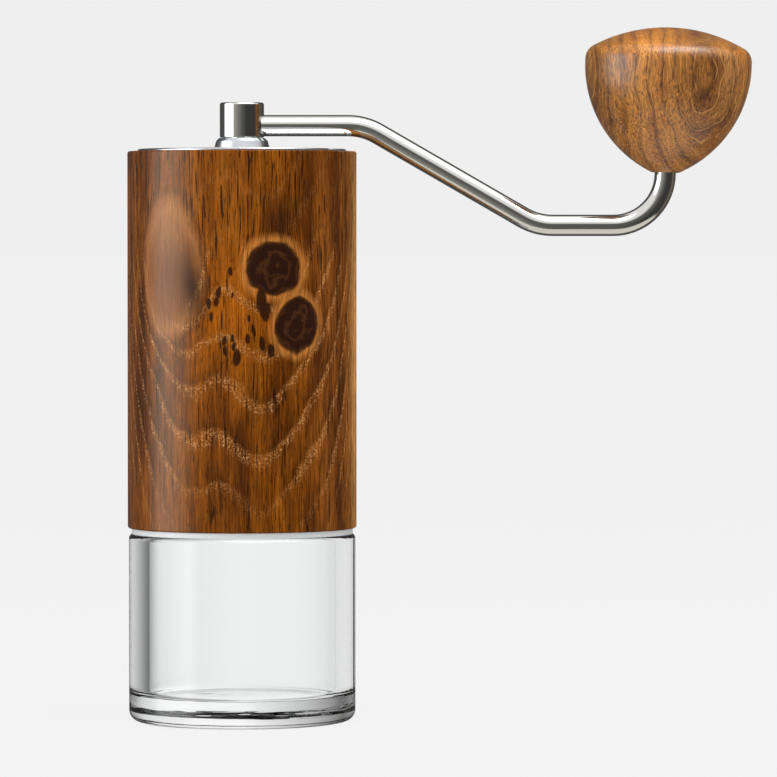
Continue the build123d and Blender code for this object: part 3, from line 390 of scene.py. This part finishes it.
def oak_wood(finish):
    """Oiled oak, turned on a lathe and polished: golden, with fine open grain and thin paler rays."""
    material, tree = new_material("oiled_turned_oak")
    place = add(tree, "ShaderNodeTexCoord", out="Object")
    place = add(tree, VECTOR, {0: place, "Scale": 1 / MM}, operation="SCALE")
    centre = (KNOB_LOW + KNOB_HIGH) / 2 / MM
    heart = (centre.x + OAK_HEART[0], 0.0, centre.z + OAK_HEART[1])
    grain = add(tree, VECTOR, {0: place, 1: heart}, operation="SUBTRACT")
    grain = add(
        tree, VECTOR, {0: grain, 1: drift(tree, place, 0.08, 2.0, 0.5, (4.0, 4.0, 7.0))}, operation="ADD"
    )
    log = add(tree, VECTOR, {0: grain, 1: (1.0, 0.25, 0.5)}, operation="MULTIPLY")
    distance = add(tree, VECTOR, {0: log}, out="Value", operation="LENGTH")

    # grain runs up the knob: lines 0.3 mm apart, and finer ones between
    fibre = fibres(tree, grain, 1.7, 0.10, 4.0, 0.7)
    hair = fibres(tree, grain, 3.6, 0.22, 3.0, 0.7)
    ragged = add(tree, MATH, {0: fibre, 1: 1.6, 2: distance}, operation="MULTIPLY_ADD")
    turns = add(tree, MATH, {0: ragged, 1: 1 / OAK_RING_SPACING}, operation="MULTIPLY")
    ring = add(tree, MATH, {0: turns}, operation="FRACT")
    tone = add(tree, RAMP, {0: ring})
    set_stops(tone, OAK_TONES)
    slow = fibres(tree, grain, 0.16, 0.04, 2.0, 0.5)
    dark, light = tuple(finish.oak_dark), tuple(finish.oak_light)
    light_mask = add(tree, RANGE, {0: slow, 1: 0.36, 2: 0.64}, **SMOOTH)
    body = add(tree, MIX, {0: light_mask, 6: dark, 7: light}, **COLOURS)
    colour = add(tree, MIX, {0: 0.6, 6: body, 7: tone}, **COLOURS)
    fibre_shade = add(tree, RANGE, {0: fibre, 1: NOISE_LOW, 2: NOISE_HIGH, 3: 0.46, 4: 1.56})
    hair_shade = add(tree, RANGE, {0: hair, 1: NOISE_LOW, 2: NOISE_HIGH, 3: 0.56, 4: 1.44})
    shade = add(tree, MATH, {0: fibre_shade, 1: hair_shade}, operation="MULTIPLY")
    # darker heartwood
    near = add(tree, MATH, {0: distance, 1: distance}, operation="MULTIPLY")
    near = add(tree, MATH, {0: near, 1: -1 / 120.0}, operation="MULTIPLY")
    near = add(tree, MATH, {0: near}, operation="EXPONENT")
    heart_shade = add(tree, RANGE, {0: near, 1: 0.0, 2: 1.0, 3: 1.08, 4: 0.62}, **SMOOTH)
    shade = add(tree, MATH, {0: shade, 1: heart_shade}, operation="MULTIPLY")
    # painted light: paler on the crown, where light from above falls; painted shade: darker towards the body
    axes = add(tree, "ShaderNodeSeparateXYZ", {0: place}).node.outputs
    painted_light_and_shade = add(tree, RANGE, {0: axes[2], 1: centre.z + 9.0, 2: centre.z + 15.0, 3: 1.0, 4: 1.5}, **SMOOTH)
    # painted shade on the side that faces the body
    painted_shade_toward_body = add(
        tree, RANGE, {0: axes[0], 1: centre.x - 20.0, 2: centre.x - 4.0, 3: 0.6, 4: 1.0}, **SMOOTH
    )
    painted_light_and_shade = add(tree, MATH, {0: painted_light_and_shade, 1: painted_shade_toward_body}, operation="MULTIPLY")
    shade = add(tree, MATH, {0: shade, 1: painted_light_and_shade}, operation="MULTIPLY")
    colour = add(tree, VECTOR, {0: colour, "Scale": shade}, operation="SCALE")

    # rays: thin pale arcs that follow the rings, in patches
    ray_line = add(tree, MATH, {0: distance, 1: 6.5}, operation="MULTIPLY")
    ray = fibres(tree, grain, 0.25, 0.10, 1.0, 0.5)
    ray_line = add(tree, MATH, {0: ray, 1: 2.2, 2: ray_line}, operation="MULTIPLY_ADD")
    ray_line = add(tree, MATH, {0: ray_line}, operation="SINE")
    patch = fibres(tree, grain, 0.22, 0.22, 1.0, 0.5)
    patch = add(tree, RANGE, {0: patch, 1: 0.40, 2: 0.50}, **SMOOTH)
    ray_mask = add(tree, RANGE, {0: ray_line, 1: 0.86, 2: 1.0, 3: 0.0, 4: 0.5}, **SMOOTH)
    ray_mask = add(tree, MATH, {0: ray_mask, 1: patch}, operation="MULTIPLY")
    colour = add(tree, MIX, {0: ray_mask, 6: colour, 7: linear("#d29a4c")}, **COLOURS)
    # open pores
    pore = fibres(tree, grain, 2.4, 0.30, 1.0, 0.5)
    pore_mask = add(tree, RANGE, {0: pore, 1: 0.59, 2: 0.67, 3: 0.0, 4: 0.75}, **SMOOTH)
    colour = add(tree, MIX, {0: pore_mask, 6: colour, 7: linear("#3c1e08")}, **COLOURS)
    relief = add(tree, MATH, {0: pore_mask, 1: -1.0, 2: fibre}, operation="MULTIPLY_ADD")
    inputs = {
        "Base Color": colour,
        "Roughness": 0.3,
        "Normal": add(tree, BUMP, {"Strength": 0.12, "Distance": 0.05 * MM, "Height": relief}),
        "IOR": 1.5,
        "Coat Weight": 0.9,
        "Coat Roughness": 0.37,
        "Specular IOR Level": 0.25,
        "Coat IOR": 1.5,
    }
    shader = add(tree, "ShaderNodeBsdfPrincipled", inputs)
    add(tree, "ShaderNodeOutputMaterial", {"Surface": shader})
    return material


# ---- Metals ----
# How a tool's marks are drawn out along x, y and z: the smaller the number, the longer the marks.
EVEN = (1.0, 1.0, 1.0)
TURNED = (0.1, 0.1, 1.0)
GROUND_UPWARDS = (1.0, 1.0, 0.1)
ALONG_ARM = (0.05, 1.0, 1.0)


def metal(name, colour, roughness, spacing, depth, stretch=EVEN):
    """A bare metal with the fine lines that its tool left: spacing and depth in mm."""
    material, tree = new_material(name)
    place = add(tree, "ShaderNodeTexCoord", out="Object")
    lines = add(
        tree, VECTOR, {0: place, 1: tuple(s / (spacing * MM) for s in stretch)}, operation="MULTIPLY"
    )
    marks = add(tree, NOISE, {"Vector": lines, "Scale": 1.0, "Detail": 3.0, "Roughness": 0.6})
    inputs = {
        "Base Color": tuple(colour),
        "Metallic": 1.0,
        "Roughness": add(
            tree, RANGE, {0: marks, 1: NOISE_LOW, 2: NOISE_HIGH, 3: roughness * 0.75, 4: roughness * 1.25}
        ),
        "Normal": add(tree, BUMP, {"Strength": 0.3, "Distance": depth * MM, "Height": marks}),
    }
    shader = add(tree, "ShaderNodeBsdfPrincipled", inputs)
    add(tree, "ShaderNodeOutputMaterial", {"Surface": shader})
    return material


def spring_steel(name):
    """Drawn steel wire, as the springs, circlips and snap ring have it."""
    return metal(name, linear("#8d8d90"), roughness=0.28, spacing=0.2, depth=0.002)


# ---- Glass and rubber ----
def jar_glass(finish):
    """Clear pressed glass, fire polished: nearly smooth, with long faint ripples in the thick foot."""
    material, tree = new_material("clear_pressed_glass")
    place = add(tree, "ShaderNodeTexCoord", out="Object")
    ripple_place = add(tree, VECTOR, {0: place, 1: (45.0, 45.0, 500.0)}, operation="MULTIPLY")
    ripple = add(tree, NOISE, {"Vector": ripple_place, "Scale": 1.0})
    height = add(tree, "ShaderNodeSeparateXYZ", {0: place}, out=2)
    foot_top = JAR_FLOOR * MM
    foot = add(tree, RANGE, {0: height, 1: foot_top * 0.9, 2: foot_top * 1.4, 3: 0.5, 4: 0.02}, **SMOOTH)
    inputs = {
        "Base Color": tuple(finish.glass),
        "Roughness": 0.0,
        "IOR": 1.52,
        "Transmission Weight": 1.0,
        "Normal": add(tree, BUMP, {"Strength": foot, "Distance": 0.2 * MM, "Height": ripple}),
    }
    shader = add(tree, "ShaderNodeBsdfPrincipled", inputs)
    add(tree, "ShaderNodeOutputMaterial", {"Surface": shader})
    return material


def silicone(finish):
    """Moulded translucent silicone: soft, milky and a little blue."""
    material, tree = new_material("translucent_silicone")
    place = add(tree, "ShaderNodeTexCoord", out="Object")
    cloud = add(tree, NOISE, {"Vector": place, "Scale": 900.0})
    inputs = {
        "Base Color": tuple(finish.silicone),
        "Roughness": add(tree, RANGE, {0: cloud, 1: NOISE_LOW, 2: NOISE_HIGH, 3: 0.28, 4: 0.42}),
        "IOR": 1.41,
        "Transmission Weight": 0.35,
        "Normal": add(tree, BUMP, {"Strength": 0.1, "Distance": 0.05 * MM, "Height": cloud}),
    }
    shader = add(tree, "ShaderNodeBsdfPrincipled", inputs)
    add(tree, "ShaderNodeOutputMaterial", {"Surface": shader})
    return material


def nitrile():
    """Moulded black nitrile rubber."""
    material, tree = new_material("moulded_nitrile_rubber")
    place = add(tree, "ShaderNodeTexCoord", out="Object")
    dust = add(tree, NOISE, {"Vector": place, "Scale": 1500.0, "Detail": 3.0})
    tone = add(tree, RAMP, {0: dust})
    set_stops(tone, [(0.3, "#121212"), (0.7, "#202020")])
    inputs = {
        "Base Color": tone,
        "Roughness": 0.6,
        "IOR": 1.52,
        "Normal": add(tree, BUMP, {"Strength": 0.2, "Distance": 0.04 * MM, "Height": dust}),
    }
    shader = add(tree, "ShaderNodeBsdfPrincipled", inputs)
    add(tree, "ShaderNodeOutputMaterial", {"Surface": shader})
    return material


# ---- Stage ----
def softbox(name, centre, size, facing, power, mirrored):
    """A soft studio light; mirrored says whether polished surfaces show it."""
    lamp = bpy.data.lights.new(name, "AREA")
    lamp.shape = "RECTANGLE"
    lamp.size, lamp.size_y = size
    lamp.energy = power
    piece = bpy.data.objects.new(name, lamp)
    piece.location = centre
    piece.rotation_euler = (Vector(facing) - Vector(centre)).to_track_quat("-Z", "Y").to_euler()
    piece.visible_camera = False
    piece.visible_transmission = False
    piece.visible_glossy = mirrored
    # the diffuser cloth fades towards its edges
    lamp.use_nodes = True
    tree = lamp.node_tree
    tree.nodes.clear()
    across = add(tree, "ShaderNodeNewGeometry", out="Parametric")
    across = add(tree, VECTOR, {0: across, 1: (0.5, 0.5, 0.0)}, operation="SUBTRACT")
    across = add(tree, VECTOR, {0: across}, operation="ABSOLUTE")
    across = add(tree, "ShaderNodeSeparateXYZ", {0: across}).node.outputs
    fades = [
        add(tree, RANGE, {0: side, 1: 0.5, 2: 0.2, 3: 0.0, 4: 1.3}, **SMOOTH)
        for side in (across[0], across[1])
    ]
    fade = add(tree, MATH, {0: fades[0], 1: fades[1]}, operation="MULTIPLY")
    glow = add(tree, "ShaderNodeEmission", {"Strength": fade})
    add(tree, "ShaderNodeOutputLight", {"Surface": glow})
    bpy.context.scene.collection.objects.link(piece)


# What stands round the studio, as (degrees from straight behind the grinder, positive to the right, tone).
# Through the glass: a backdrop that is brightest straight behind and darkest 56 degrees to the left of that.
BEHIND_GLASS = [
    (-180, "#cccccc"), (-110, "#c0c0c0"), (-72, "#969696"), (-56, "#6a6a6a"), (-46, "#8c8c8c"),
    (-20, "#d2d2d2"), (-9, "#eaeaea"), (-2, "#fbfbfb"), (14, "#fafafa"), (30, "#f0f0f0"),
    (50, "#e4e4e4"), (64, "#b4b4b4"), (90, "#c0c0c0"), (180, "#cccccc"),
]
# In reflections: the near edge of a tall window on the left, and dark walls elsewhere.
ROUND_METAL = [
    (-180, "#6a6a68"), (-166, "#8a8a86"), (-150, "#a8a7a0"), (-136, "#b4b3ac"), (-118, "#5a5a5a"),
    (-58, "#585858"), (10, "#585858"), (46, "#56504a"), (70, "#666058"), (82, "#86827c"),
    (94, "#666058"), (110, "#444442"), (156, "#444442"), (180, "#6a6a68"),
]
FLOOR_REACH = 40.0  # half the floor's width, in m


def studio_world(background, fill):
    """Flat pale surroundings for the eye, and what the glass and the metal show of the studio."""
    world = bpy.data.worlds.new("studio")
    world.use_nodes = True
    tree = world.node_tree
    tree.nodes.clear()
    way = add(tree, "ShaderNodeTexCoord", out="Generated")
    axes = add(tree, "ShaderNodeSeparateXYZ", {0: way}).node.outputs
    toward = add(tree, MATH, {0: axes[1], 1: -1.0}, operation="MULTIPLY")
    bearing = add(tree, MATH, {0: axes[0], 1: axes[1]}, operation="ARCTAN2")
    bearing = add(tree, MATH, {0: bearing, 1: 0.5 / math.pi, 2: 0.5}, operation="MULTIPLY_ADD")
    up = add(tree, MATH, {0: axes[2], 1: 0.5, 2: toward}, operation="MULTIPLY_ADD")
    down = add(tree, MATH, {0: axes[2], 1: -0.3, 2: toward}, operation="MULTIPLY_ADD")

    # a white ceiling, from 10 degrees up in front to just behind overhead, and a cream floor in front,
    # from 40 degrees down
    high = add(tree, RANGE, {0: axes[2], 1: 0.17, 2: 0.45}, **SMOOTH)
    in_front = add(tree, RANGE, {0: up, 1: -0.15, 2: 0.1}, **SMOOTH)
    ceiling = add(tree, MATH, {0: high, 1: in_front}, operation="MULTIPLY")
    low = add(tree, RANGE, {0: axes[2], 1: -0.64, 2: -0.72}, **SMOOTH)
    in_front = add(tree, RANGE, {0: down, 1: -0.1, 2: 0.1}, **SMOOTH)
    floor_seen = add(tree, MATH, {0: low, 1: in_front}, operation="MULTIPLY")
    glass = add(tree, RAMP, {0: bearing})
    set_stops(glass, [(0.5 + degrees / 360, tone) for degrees, tone in BEHIND_GLASS])
    around = add(tree, RAMP, {0: bearing})
    set_stops(around, [(0.5 + degrees / 360, tone) for degrees, tone in ROUND_METAL])
    metal_tone = add(tree, MIX, {0: floor_seen, 6: around, 7: linear("#f4f1e8")}, **COLOURS)
    metal_tone = add(tree, MIX, {0: ceiling, 6: metal_tone, 7: (1.1, 1.1, 1.1, 1.0)}, **COLOURS)
    path = add(tree, "ShaderNodeLightPath").node.outputs
    soft = add(tree, VECTOR, {0: background[:3], "Scale": fill}, operation="SCALE")
    colour = add(tree, MIX, {0: path["Is Glossy Ray"], 6: soft, 7: metal_tone}, **COLOURS)
    colour = add(tree, MIX, {0: path["Is Transmission Ray"], 6: colour, 7: glass}, **COLOURS)
    colour = add(tree, MIX, {0: path["Is Camera Ray"], 6: colour, 7: background}, **COLOURS)
    shader = add(tree, "ShaderNodeBackground", {"Color": colour, "Strength": 1.0})
    add(tree, "ShaderNodeOutputWorld", {"Surface": shader})
    bpy.context.scene.world = world


def floor(background):
    """A pale floor that keeps a faint contact shadow."""
    mesh = bpy.data.meshes.new("floor")
    shape = bmesh.new()
    bmesh.ops.create_grid(shape, x_segments=1, y_segments=1, size=FLOOR_REACH)
    shape.to_mesh(mesh)
    shape.free()
    piece = bpy.data.objects.new("floor", mesh)
    bpy.context.scene.collection.objects.link(piece)
    material, tree = new_material("matt_pale_card")
    glow = add(tree, "ShaderNodeEmission", {"Color": background, "Strength": 1.0})
    matt = add(tree, "ShaderNodeBsdfDiffuse", {"Color": (0.03, 0.03, 0.03, 1.0)})
    shader = add(tree, "ShaderNodeAddShader", {0: glow, 1: matt})
    add(tree, "ShaderNodeOutputMaterial", {"Surface": shader})
    mesh.materials.append(material)
    piece.visible_glossy = False
    piece.visible_transmission = False


def colour_property(name, description, hex_colour):
    """A colour setting, with its default as an sRGB hex value."""
    return bpy.props.FloatVectorProperty(
        name=name, description=description, size=4, subtype="COLOR", default=linear(hex_colour)
    )


class GrinderFinish(bpy.types.PropertyGroup):
    """Colours and sizes of the grinder's finishes."""

    burl_dark: colour_property("Burl, dark", "Darkest heartwood of the sleeve", "#4a2304")
    burl_middle: colour_property("Burl, middle", "Main colour of the sleeve", "#723c06")
    burl_light: colour_property("Burl, light", "Palest bands of the sleeve", "#854b0f")
    burl_gold: colour_property("Burl, gold", "Wood between the knots", "#904c04")
    burl_fleck: colour_property("Burl, flecks", "Pale flecks along the growth rings", "#b48452")
    fibre_spacing: bpy.props.FloatProperty(
        name="Fibre spacing", description="Distance between the sleeve's wood fibres", default=0.3 * MM,
        unit="LENGTH",
    )
    oak_dark: colour_property("Oak, dark", "Darker wood of the knob", "#7c4410")
    oak_light: colour_property("Oak, light", "Paler wood of the knob", "#b07428")
    glass: colour_property("Glass", "Tint of the jar", "#fdfefe")
    silicone: colour_property("Silicone", "Tint of the jar's gasket", "#f6fafa")
    polished_steel: colour_property("Polished steel", "Crank and hub", "#d0cfca")
    spun_steel: colour_property("Spun steel", "Lid and burr ring", "#c9ccd0")
    aluminium: colour_property("Aluminium", "Body tube", "#d2d4d6")
    anodised: colour_property("Anodised aluminium", "Bridges, burr carrier and dial", "#2a2b2d")
    brass: colour_property("Brass", "Cages, dial nut, spring seat and knob bush", "#c9a250")


class GrinderStudio(bpy.types.PropertyGroup):
    """Sizes and colours of the studio."""

    background: colour_property("Background", "Colour of the floor and surroundings", "#efefef")
    camera_distance: bpy.props.FloatProperty(
        name="Camera distance", description="From the camera to the grinder's axle", default=1.39,
        unit="LENGTH",
    )
    camera_height: bpy.props.FloatProperty(
        name="Camera height", description="Camera over the floor", default=0.126, unit="LENGTH"
    )
    camera_side: bpy.props.FloatProperty(
        name="Camera side", description="Camera to the right of the axle", default=0.0384, unit="LENGTH"
    )
    camera_pitch: bpy.props.FloatProperty(
        name="Camera pitch", description="How far the camera looks down", default=math.radians(1.6),
        subtype="ANGLE",
    )
    lens: bpy.props.FloatProperty(
        name="Lens", description="Focal length on a 36 mm wide sensor", default=245.6, unit="CAMERA"
    )
    fill: bpy.props.FloatProperty(
        name="Fill", description="Light from the surroundings, as a share of the background", default=0.36
    )
    side_power: bpy.props.FloatProperty(
        name="Left light", description="Power of the softbox on the left", default=6.0, unit="POWER"
    )
    right_power: bpy.props.FloatProperty(
        name="Right light", description="Power of the weak light on the right", default=2.6, unit="POWER"
    )
    top_power: bpy.props.FloatProperty(
        name="Top light", description="Power of the softbox overhead", default=9.5, unit="POWER"
    )
    front_power: bpy.props.FloatProperty(
        name="Front light", description="Power of the softbox in front", default=4.0, unit="POWER"
    )


class GRINDER_OT_sleeve(bpy.types.Operator):
    """Gives the sleeve its burl veneer"""

    bl_idname = "grinder.sleeve"
    bl_label = "Sleeve"

    def execute(self, context):
        dress(burl_wood(context.scene.grinder_finish), "wood_sleeve")
        return {"FINISHED"}


class GRINDER_OT_knob(bpy.types.Operator):
    """Gives the knob its turned oak"""

    bl_idname = "grinder.knob"
    bl_label = "Knob"

    def execute(self, context):
        dress(oak_wood(context.scene.grinder_finish), "knob")
        return {"FINISHED"}


class GRINDER_OT_jar(bpy.types.Operator):
    """Gives the jar its glass"""

    bl_idname = "grinder.jar"
    bl_label = "Jar"

    def execute(self, context):
        dress(jar_glass(context.scene.grinder_finish), "jar")
        return {"FINISHED"}


class GRINDER_OT_seals(bpy.types.Operator):
    """Gives the jar's gasket and the lid's seal their rubber"""

    bl_idname = "grinder.seals"
    bl_label = "Seals"

    def execute(self, context):
        dress(silicone(context.scene.grinder_finish), "jar_gasket")
        dress(nitrile(), "lid_seal")
        return {"FINISHED"}


class GRINDER_OT_crank(bpy.types.Operator):
    """Polishes the crank and its hub"""

    bl_idname = "grinder.crank"
    bl_label = "Crank"

    def execute(self, context):
        steel = context.scene.grinder_finish.polished_steel
        polished = metal(
            "polished_stainless_steel", steel, roughness=0.09, spacing=0.4, depth=0.0015, stretch=ALONG_ARM
        )
        dress(polished, "crank_hub", "crank_arm")
        return {"FINISHED"}


class GRINDER_OT_lid(bpy.types.Operator):
    """Gives the lid and the burr ring their spun steel"""

    bl_idname = "grinder.lid"
    bl_label = "Lid and burr ring"

    def execute(self, context):
        steel = context.scene.grinder_finish.spun_steel
        spun = metal("spun_stainless_steel", steel, roughness=0.24, spacing=0.3, depth=0.004)
        dress(spun, "lid", "burr_retaining_ring")
        return {"FINISHED"}


class GRINDER_OT_body(bpy.types.Operator):
    """Gives the tube its turned aluminium, and the bridges and carrier their anodised coat"""

    bl_idname = "grinder.body"
    bl_label = "Tube, bridges and carrier"

    def execute(self, context):
        finish = context.scene.grinder_finish
        turned = metal(
            "turned_aluminium", finish.aluminium, roughness=0.32, spacing=0.25, depth=0.004, stretch=TURNED
        )
        dress(turned, "body_tube")
        black = metal(
            "black_anodised_aluminium", finish.anodised, roughness=0.45, spacing=0.12, depth=0.006
        )
        dress(black, "lower_bearing_bridge", "upper_bearing_bridge", "burr_carrier")
        return {"FINISHED"}


class GRINDER_OT_burrs(bpy.types.Operator):
    """Gives the burrs and the click plate their ground tool steel"""

    bl_idname = "grinder.burrs"
    bl_label = "Burrs"

    def execute(self, context):
        steel = linear("#a9a8a4")
        ground = metal(
            "ground_tool_steel", steel, roughness=0.22, spacing=0.2, depth=0.003, stretch=GROUND_UPWARDS
        )
        dress(ground, "outer_burr", "inner_burr", "click_plate")
        return {"FINISHED"}


class GRINDER_OT_axle(bpy.types.Operator):
    """Gives the axle, bearings and springs their steel and brass"""

    bl_idname = "grinder.axle"
    bl_label = "Axle, bearings and springs"

    def execute(self, context):
        steel = linear("#c4c4c4")
        bearing = metal(
            "ground_bearing_steel", steel, roughness=0.12, spacing=0.2, depth=0.001, stretch=TURNED
        )
        drawn = spring_steel("drawn_spring_steel")
        yellow = context.scene.grinder_finish.brass
        brass = metal("turned_brass", yellow, roughness=0.24, spacing=0.25, depth=0.003, stretch=TURNED)
        for node_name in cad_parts:
            if "race" in node_name or "balls" in node_name or node_name == "axle":
                dress(bearing, node_name)
            elif "circlip" in node_name or "spring" in node_name or "snap_ring" in node_name:
                dress(drawn, node_name)
            elif "cage" in node_name:
                dress(brass, node_name)
        dress(brass, "spring_seat", "dial_nut", "knob_bush")
        return {"FINISHED"}


class GRINDER_OT_spring(bpy.types.Operator):
    """Makes the burr spring, which on the real grinder shortens as the dial raises the cone burr, and carries
    it with the axle
    """

    bl_idname = "grinder.spring"
    bl_label = "Burr spring"

    def execute(self, context):
        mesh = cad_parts["burr_spring"].data.copy()
        mesh.materials.clear()
        shape = bmesh.new()
        shape.from_mesh(mesh)
        bmesh.ops.remove_doubles(shape, verts=shape.verts, dist=0.001 * MM)
        shape.to_mesh(mesh)
        shape.free()
        mesh.materials.append(spring_steel("coiled_spring_steel"))
        piece = bpy.data.objects.new("coiled_burr_spring", mesh)
        context.scene.collection.objects.link(piece)
        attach(piece, "axle")
        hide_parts("burr_spring")
        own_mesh(piece)
        return {"FINISHED"}


class GRINDER_OT_dial(bpy.types.Operator):
    """Gives the adjusting dial its anodised coat"""

    bl_idname = "grinder.dial"
    bl_label = "Adjusting dial"

    def execute(self, context):
        colour = context.scene.grinder_finish.anodised
        coat = metal(
            "satin_anodised_aluminium", colour, roughness=0.35, spacing=0.2, depth=0.004, stretch=TURNED
        )
        dress(coat, "adjusting_dial")
        return {"FINISHED"}


class GRINDER_OT_screws(bpy.types.Operator):
    """Gives the screws their bright steel"""

    bl_idname = "grinder.screws"
    bl_label = "Screws"

    def execute(self, context):
        steel = linear("#b4b3b0")
        bright = metal("cold_headed_stainless_steel", steel, roughness=0.25, spacing=0.15, depth=0.003)
        dress(bright, *(node_name for node_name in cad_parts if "screws" in node_name))
        return {"FINISHED"}


class GRINDER_OT_stage(bpy.types.Operator):
    """Sets the camera, floor, surroundings and lights"""

    bl_idname = "grinder.stage"
    bl_label = "Stage"

    def execute(self, context):
        scene = context.scene
        studio = scene.grinder_studio
        scene.view_settings.view_transform = "Standard"
        background = tuple(studio.background)
        studio_world(background, studio.fill)
        floor(background)
        camera = bpy.data.cameras.new("camera")
        camera.lens = studio.lens
        camera.sensor_width = 36.0
        camera.clip_end = 200.0
        piece = bpy.data.objects.new("camera", camera)
        piece.location = (studio.camera_side, -studio.camera_distance, studio.camera_height)
        piece.rotation_euler = (math.pi / 2 - studio.camera_pitch, 0.0, 0.0)
        scene.collection.objects.link(piece)
        scene.camera = piece
        middle = (0.03, 0.0, 0.10)
        softbox("left_softbox", (-0.78, -0.26, 0.20), (1.1, 0.9), middle, studio.side_power, True)
        softbox("top_softbox", (0.22, -0.28, 0.90), (1.2, 0.7), middle, studio.top_power, True)
        softbox("front_softbox", (-0.15, -1.0, 0.45), (0.9, 0.9), middle, studio.front_power, False)
        softbox("right_softbox", (0.85, 0.10, 0.25), (0.6, 0.8), middle, studio.right_power, False)
        return {"FINISHED"}


class GRINDER_PT_panel(bpy.types.Panel):
    """Lists the grinder's operators and the studio's settings"""

    bl_label = "Coffee grinder"
    bl_idname = "GRINDER_PT_panel"
    bl_space_type = "VIEW_3D"
    bl_region_type = "UI"
    bl_category = "Grinder"

    def draw(self, context):
        for operator in OPERATORS:
            self.layout.operator(operator.bl_idname)
        for group in (context.scene.grinder_finish, context.scene.grinder_studio):
            for name in group.__annotations__:
                self.layout.prop(group, name)


OPERATORS = (
    GRINDER_OT_sleeve, GRINDER_OT_knob, GRINDER_OT_jar, GRINDER_OT_seals, GRINDER_OT_crank, GRINDER_OT_lid,
    GRINDER_OT_body, GRINDER_OT_burrs, GRINDER_OT_axle, GRINDER_OT_spring, GRINDER_OT_dial,
    GRINDER_OT_screws, GRINDER_OT_stage,
)
CLASSES = (GrinderFinish, GrinderStudio, *OPERATORS, GRINDER_PT_panel)


def register():
    for cls in CLASSES:
        bpy.utils.register_class(cls)
    bpy.types.Scene.grinder_finish = bpy.props.PointerProperty(type=GrinderFinish)
    bpy.types.Scene.grinder_studio = bpy.props.PointerProperty(type=GrinderStudio)


def unregister():
    del bpy.types.Scene.grinder_studio
    del bpy.types.Scene.grinder_finish
    for cls in reversed(CLASSES):
        bpy.utils.unregister_class(cls)


def main():
    register()
    bpy.ops.grinder.sleeve()
    bpy.ops.grinder.knob()
    bpy.ops.grinder.jar()
    bpy.ops.grinder.seals()
    bpy.ops.grinder.crank()
    bpy.ops.grinder.lid()
    bpy.ops.grinder.body()
    bpy.ops.grinder.burrs()
    bpy.ops.grinder.axle()
    bpy.ops.grinder.spring()
    bpy.ops.grinder.dial()
    bpy.ops.grinder.screws()
    bpy.ops.grinder.stage()


if __name__ == "__main__":
    main()
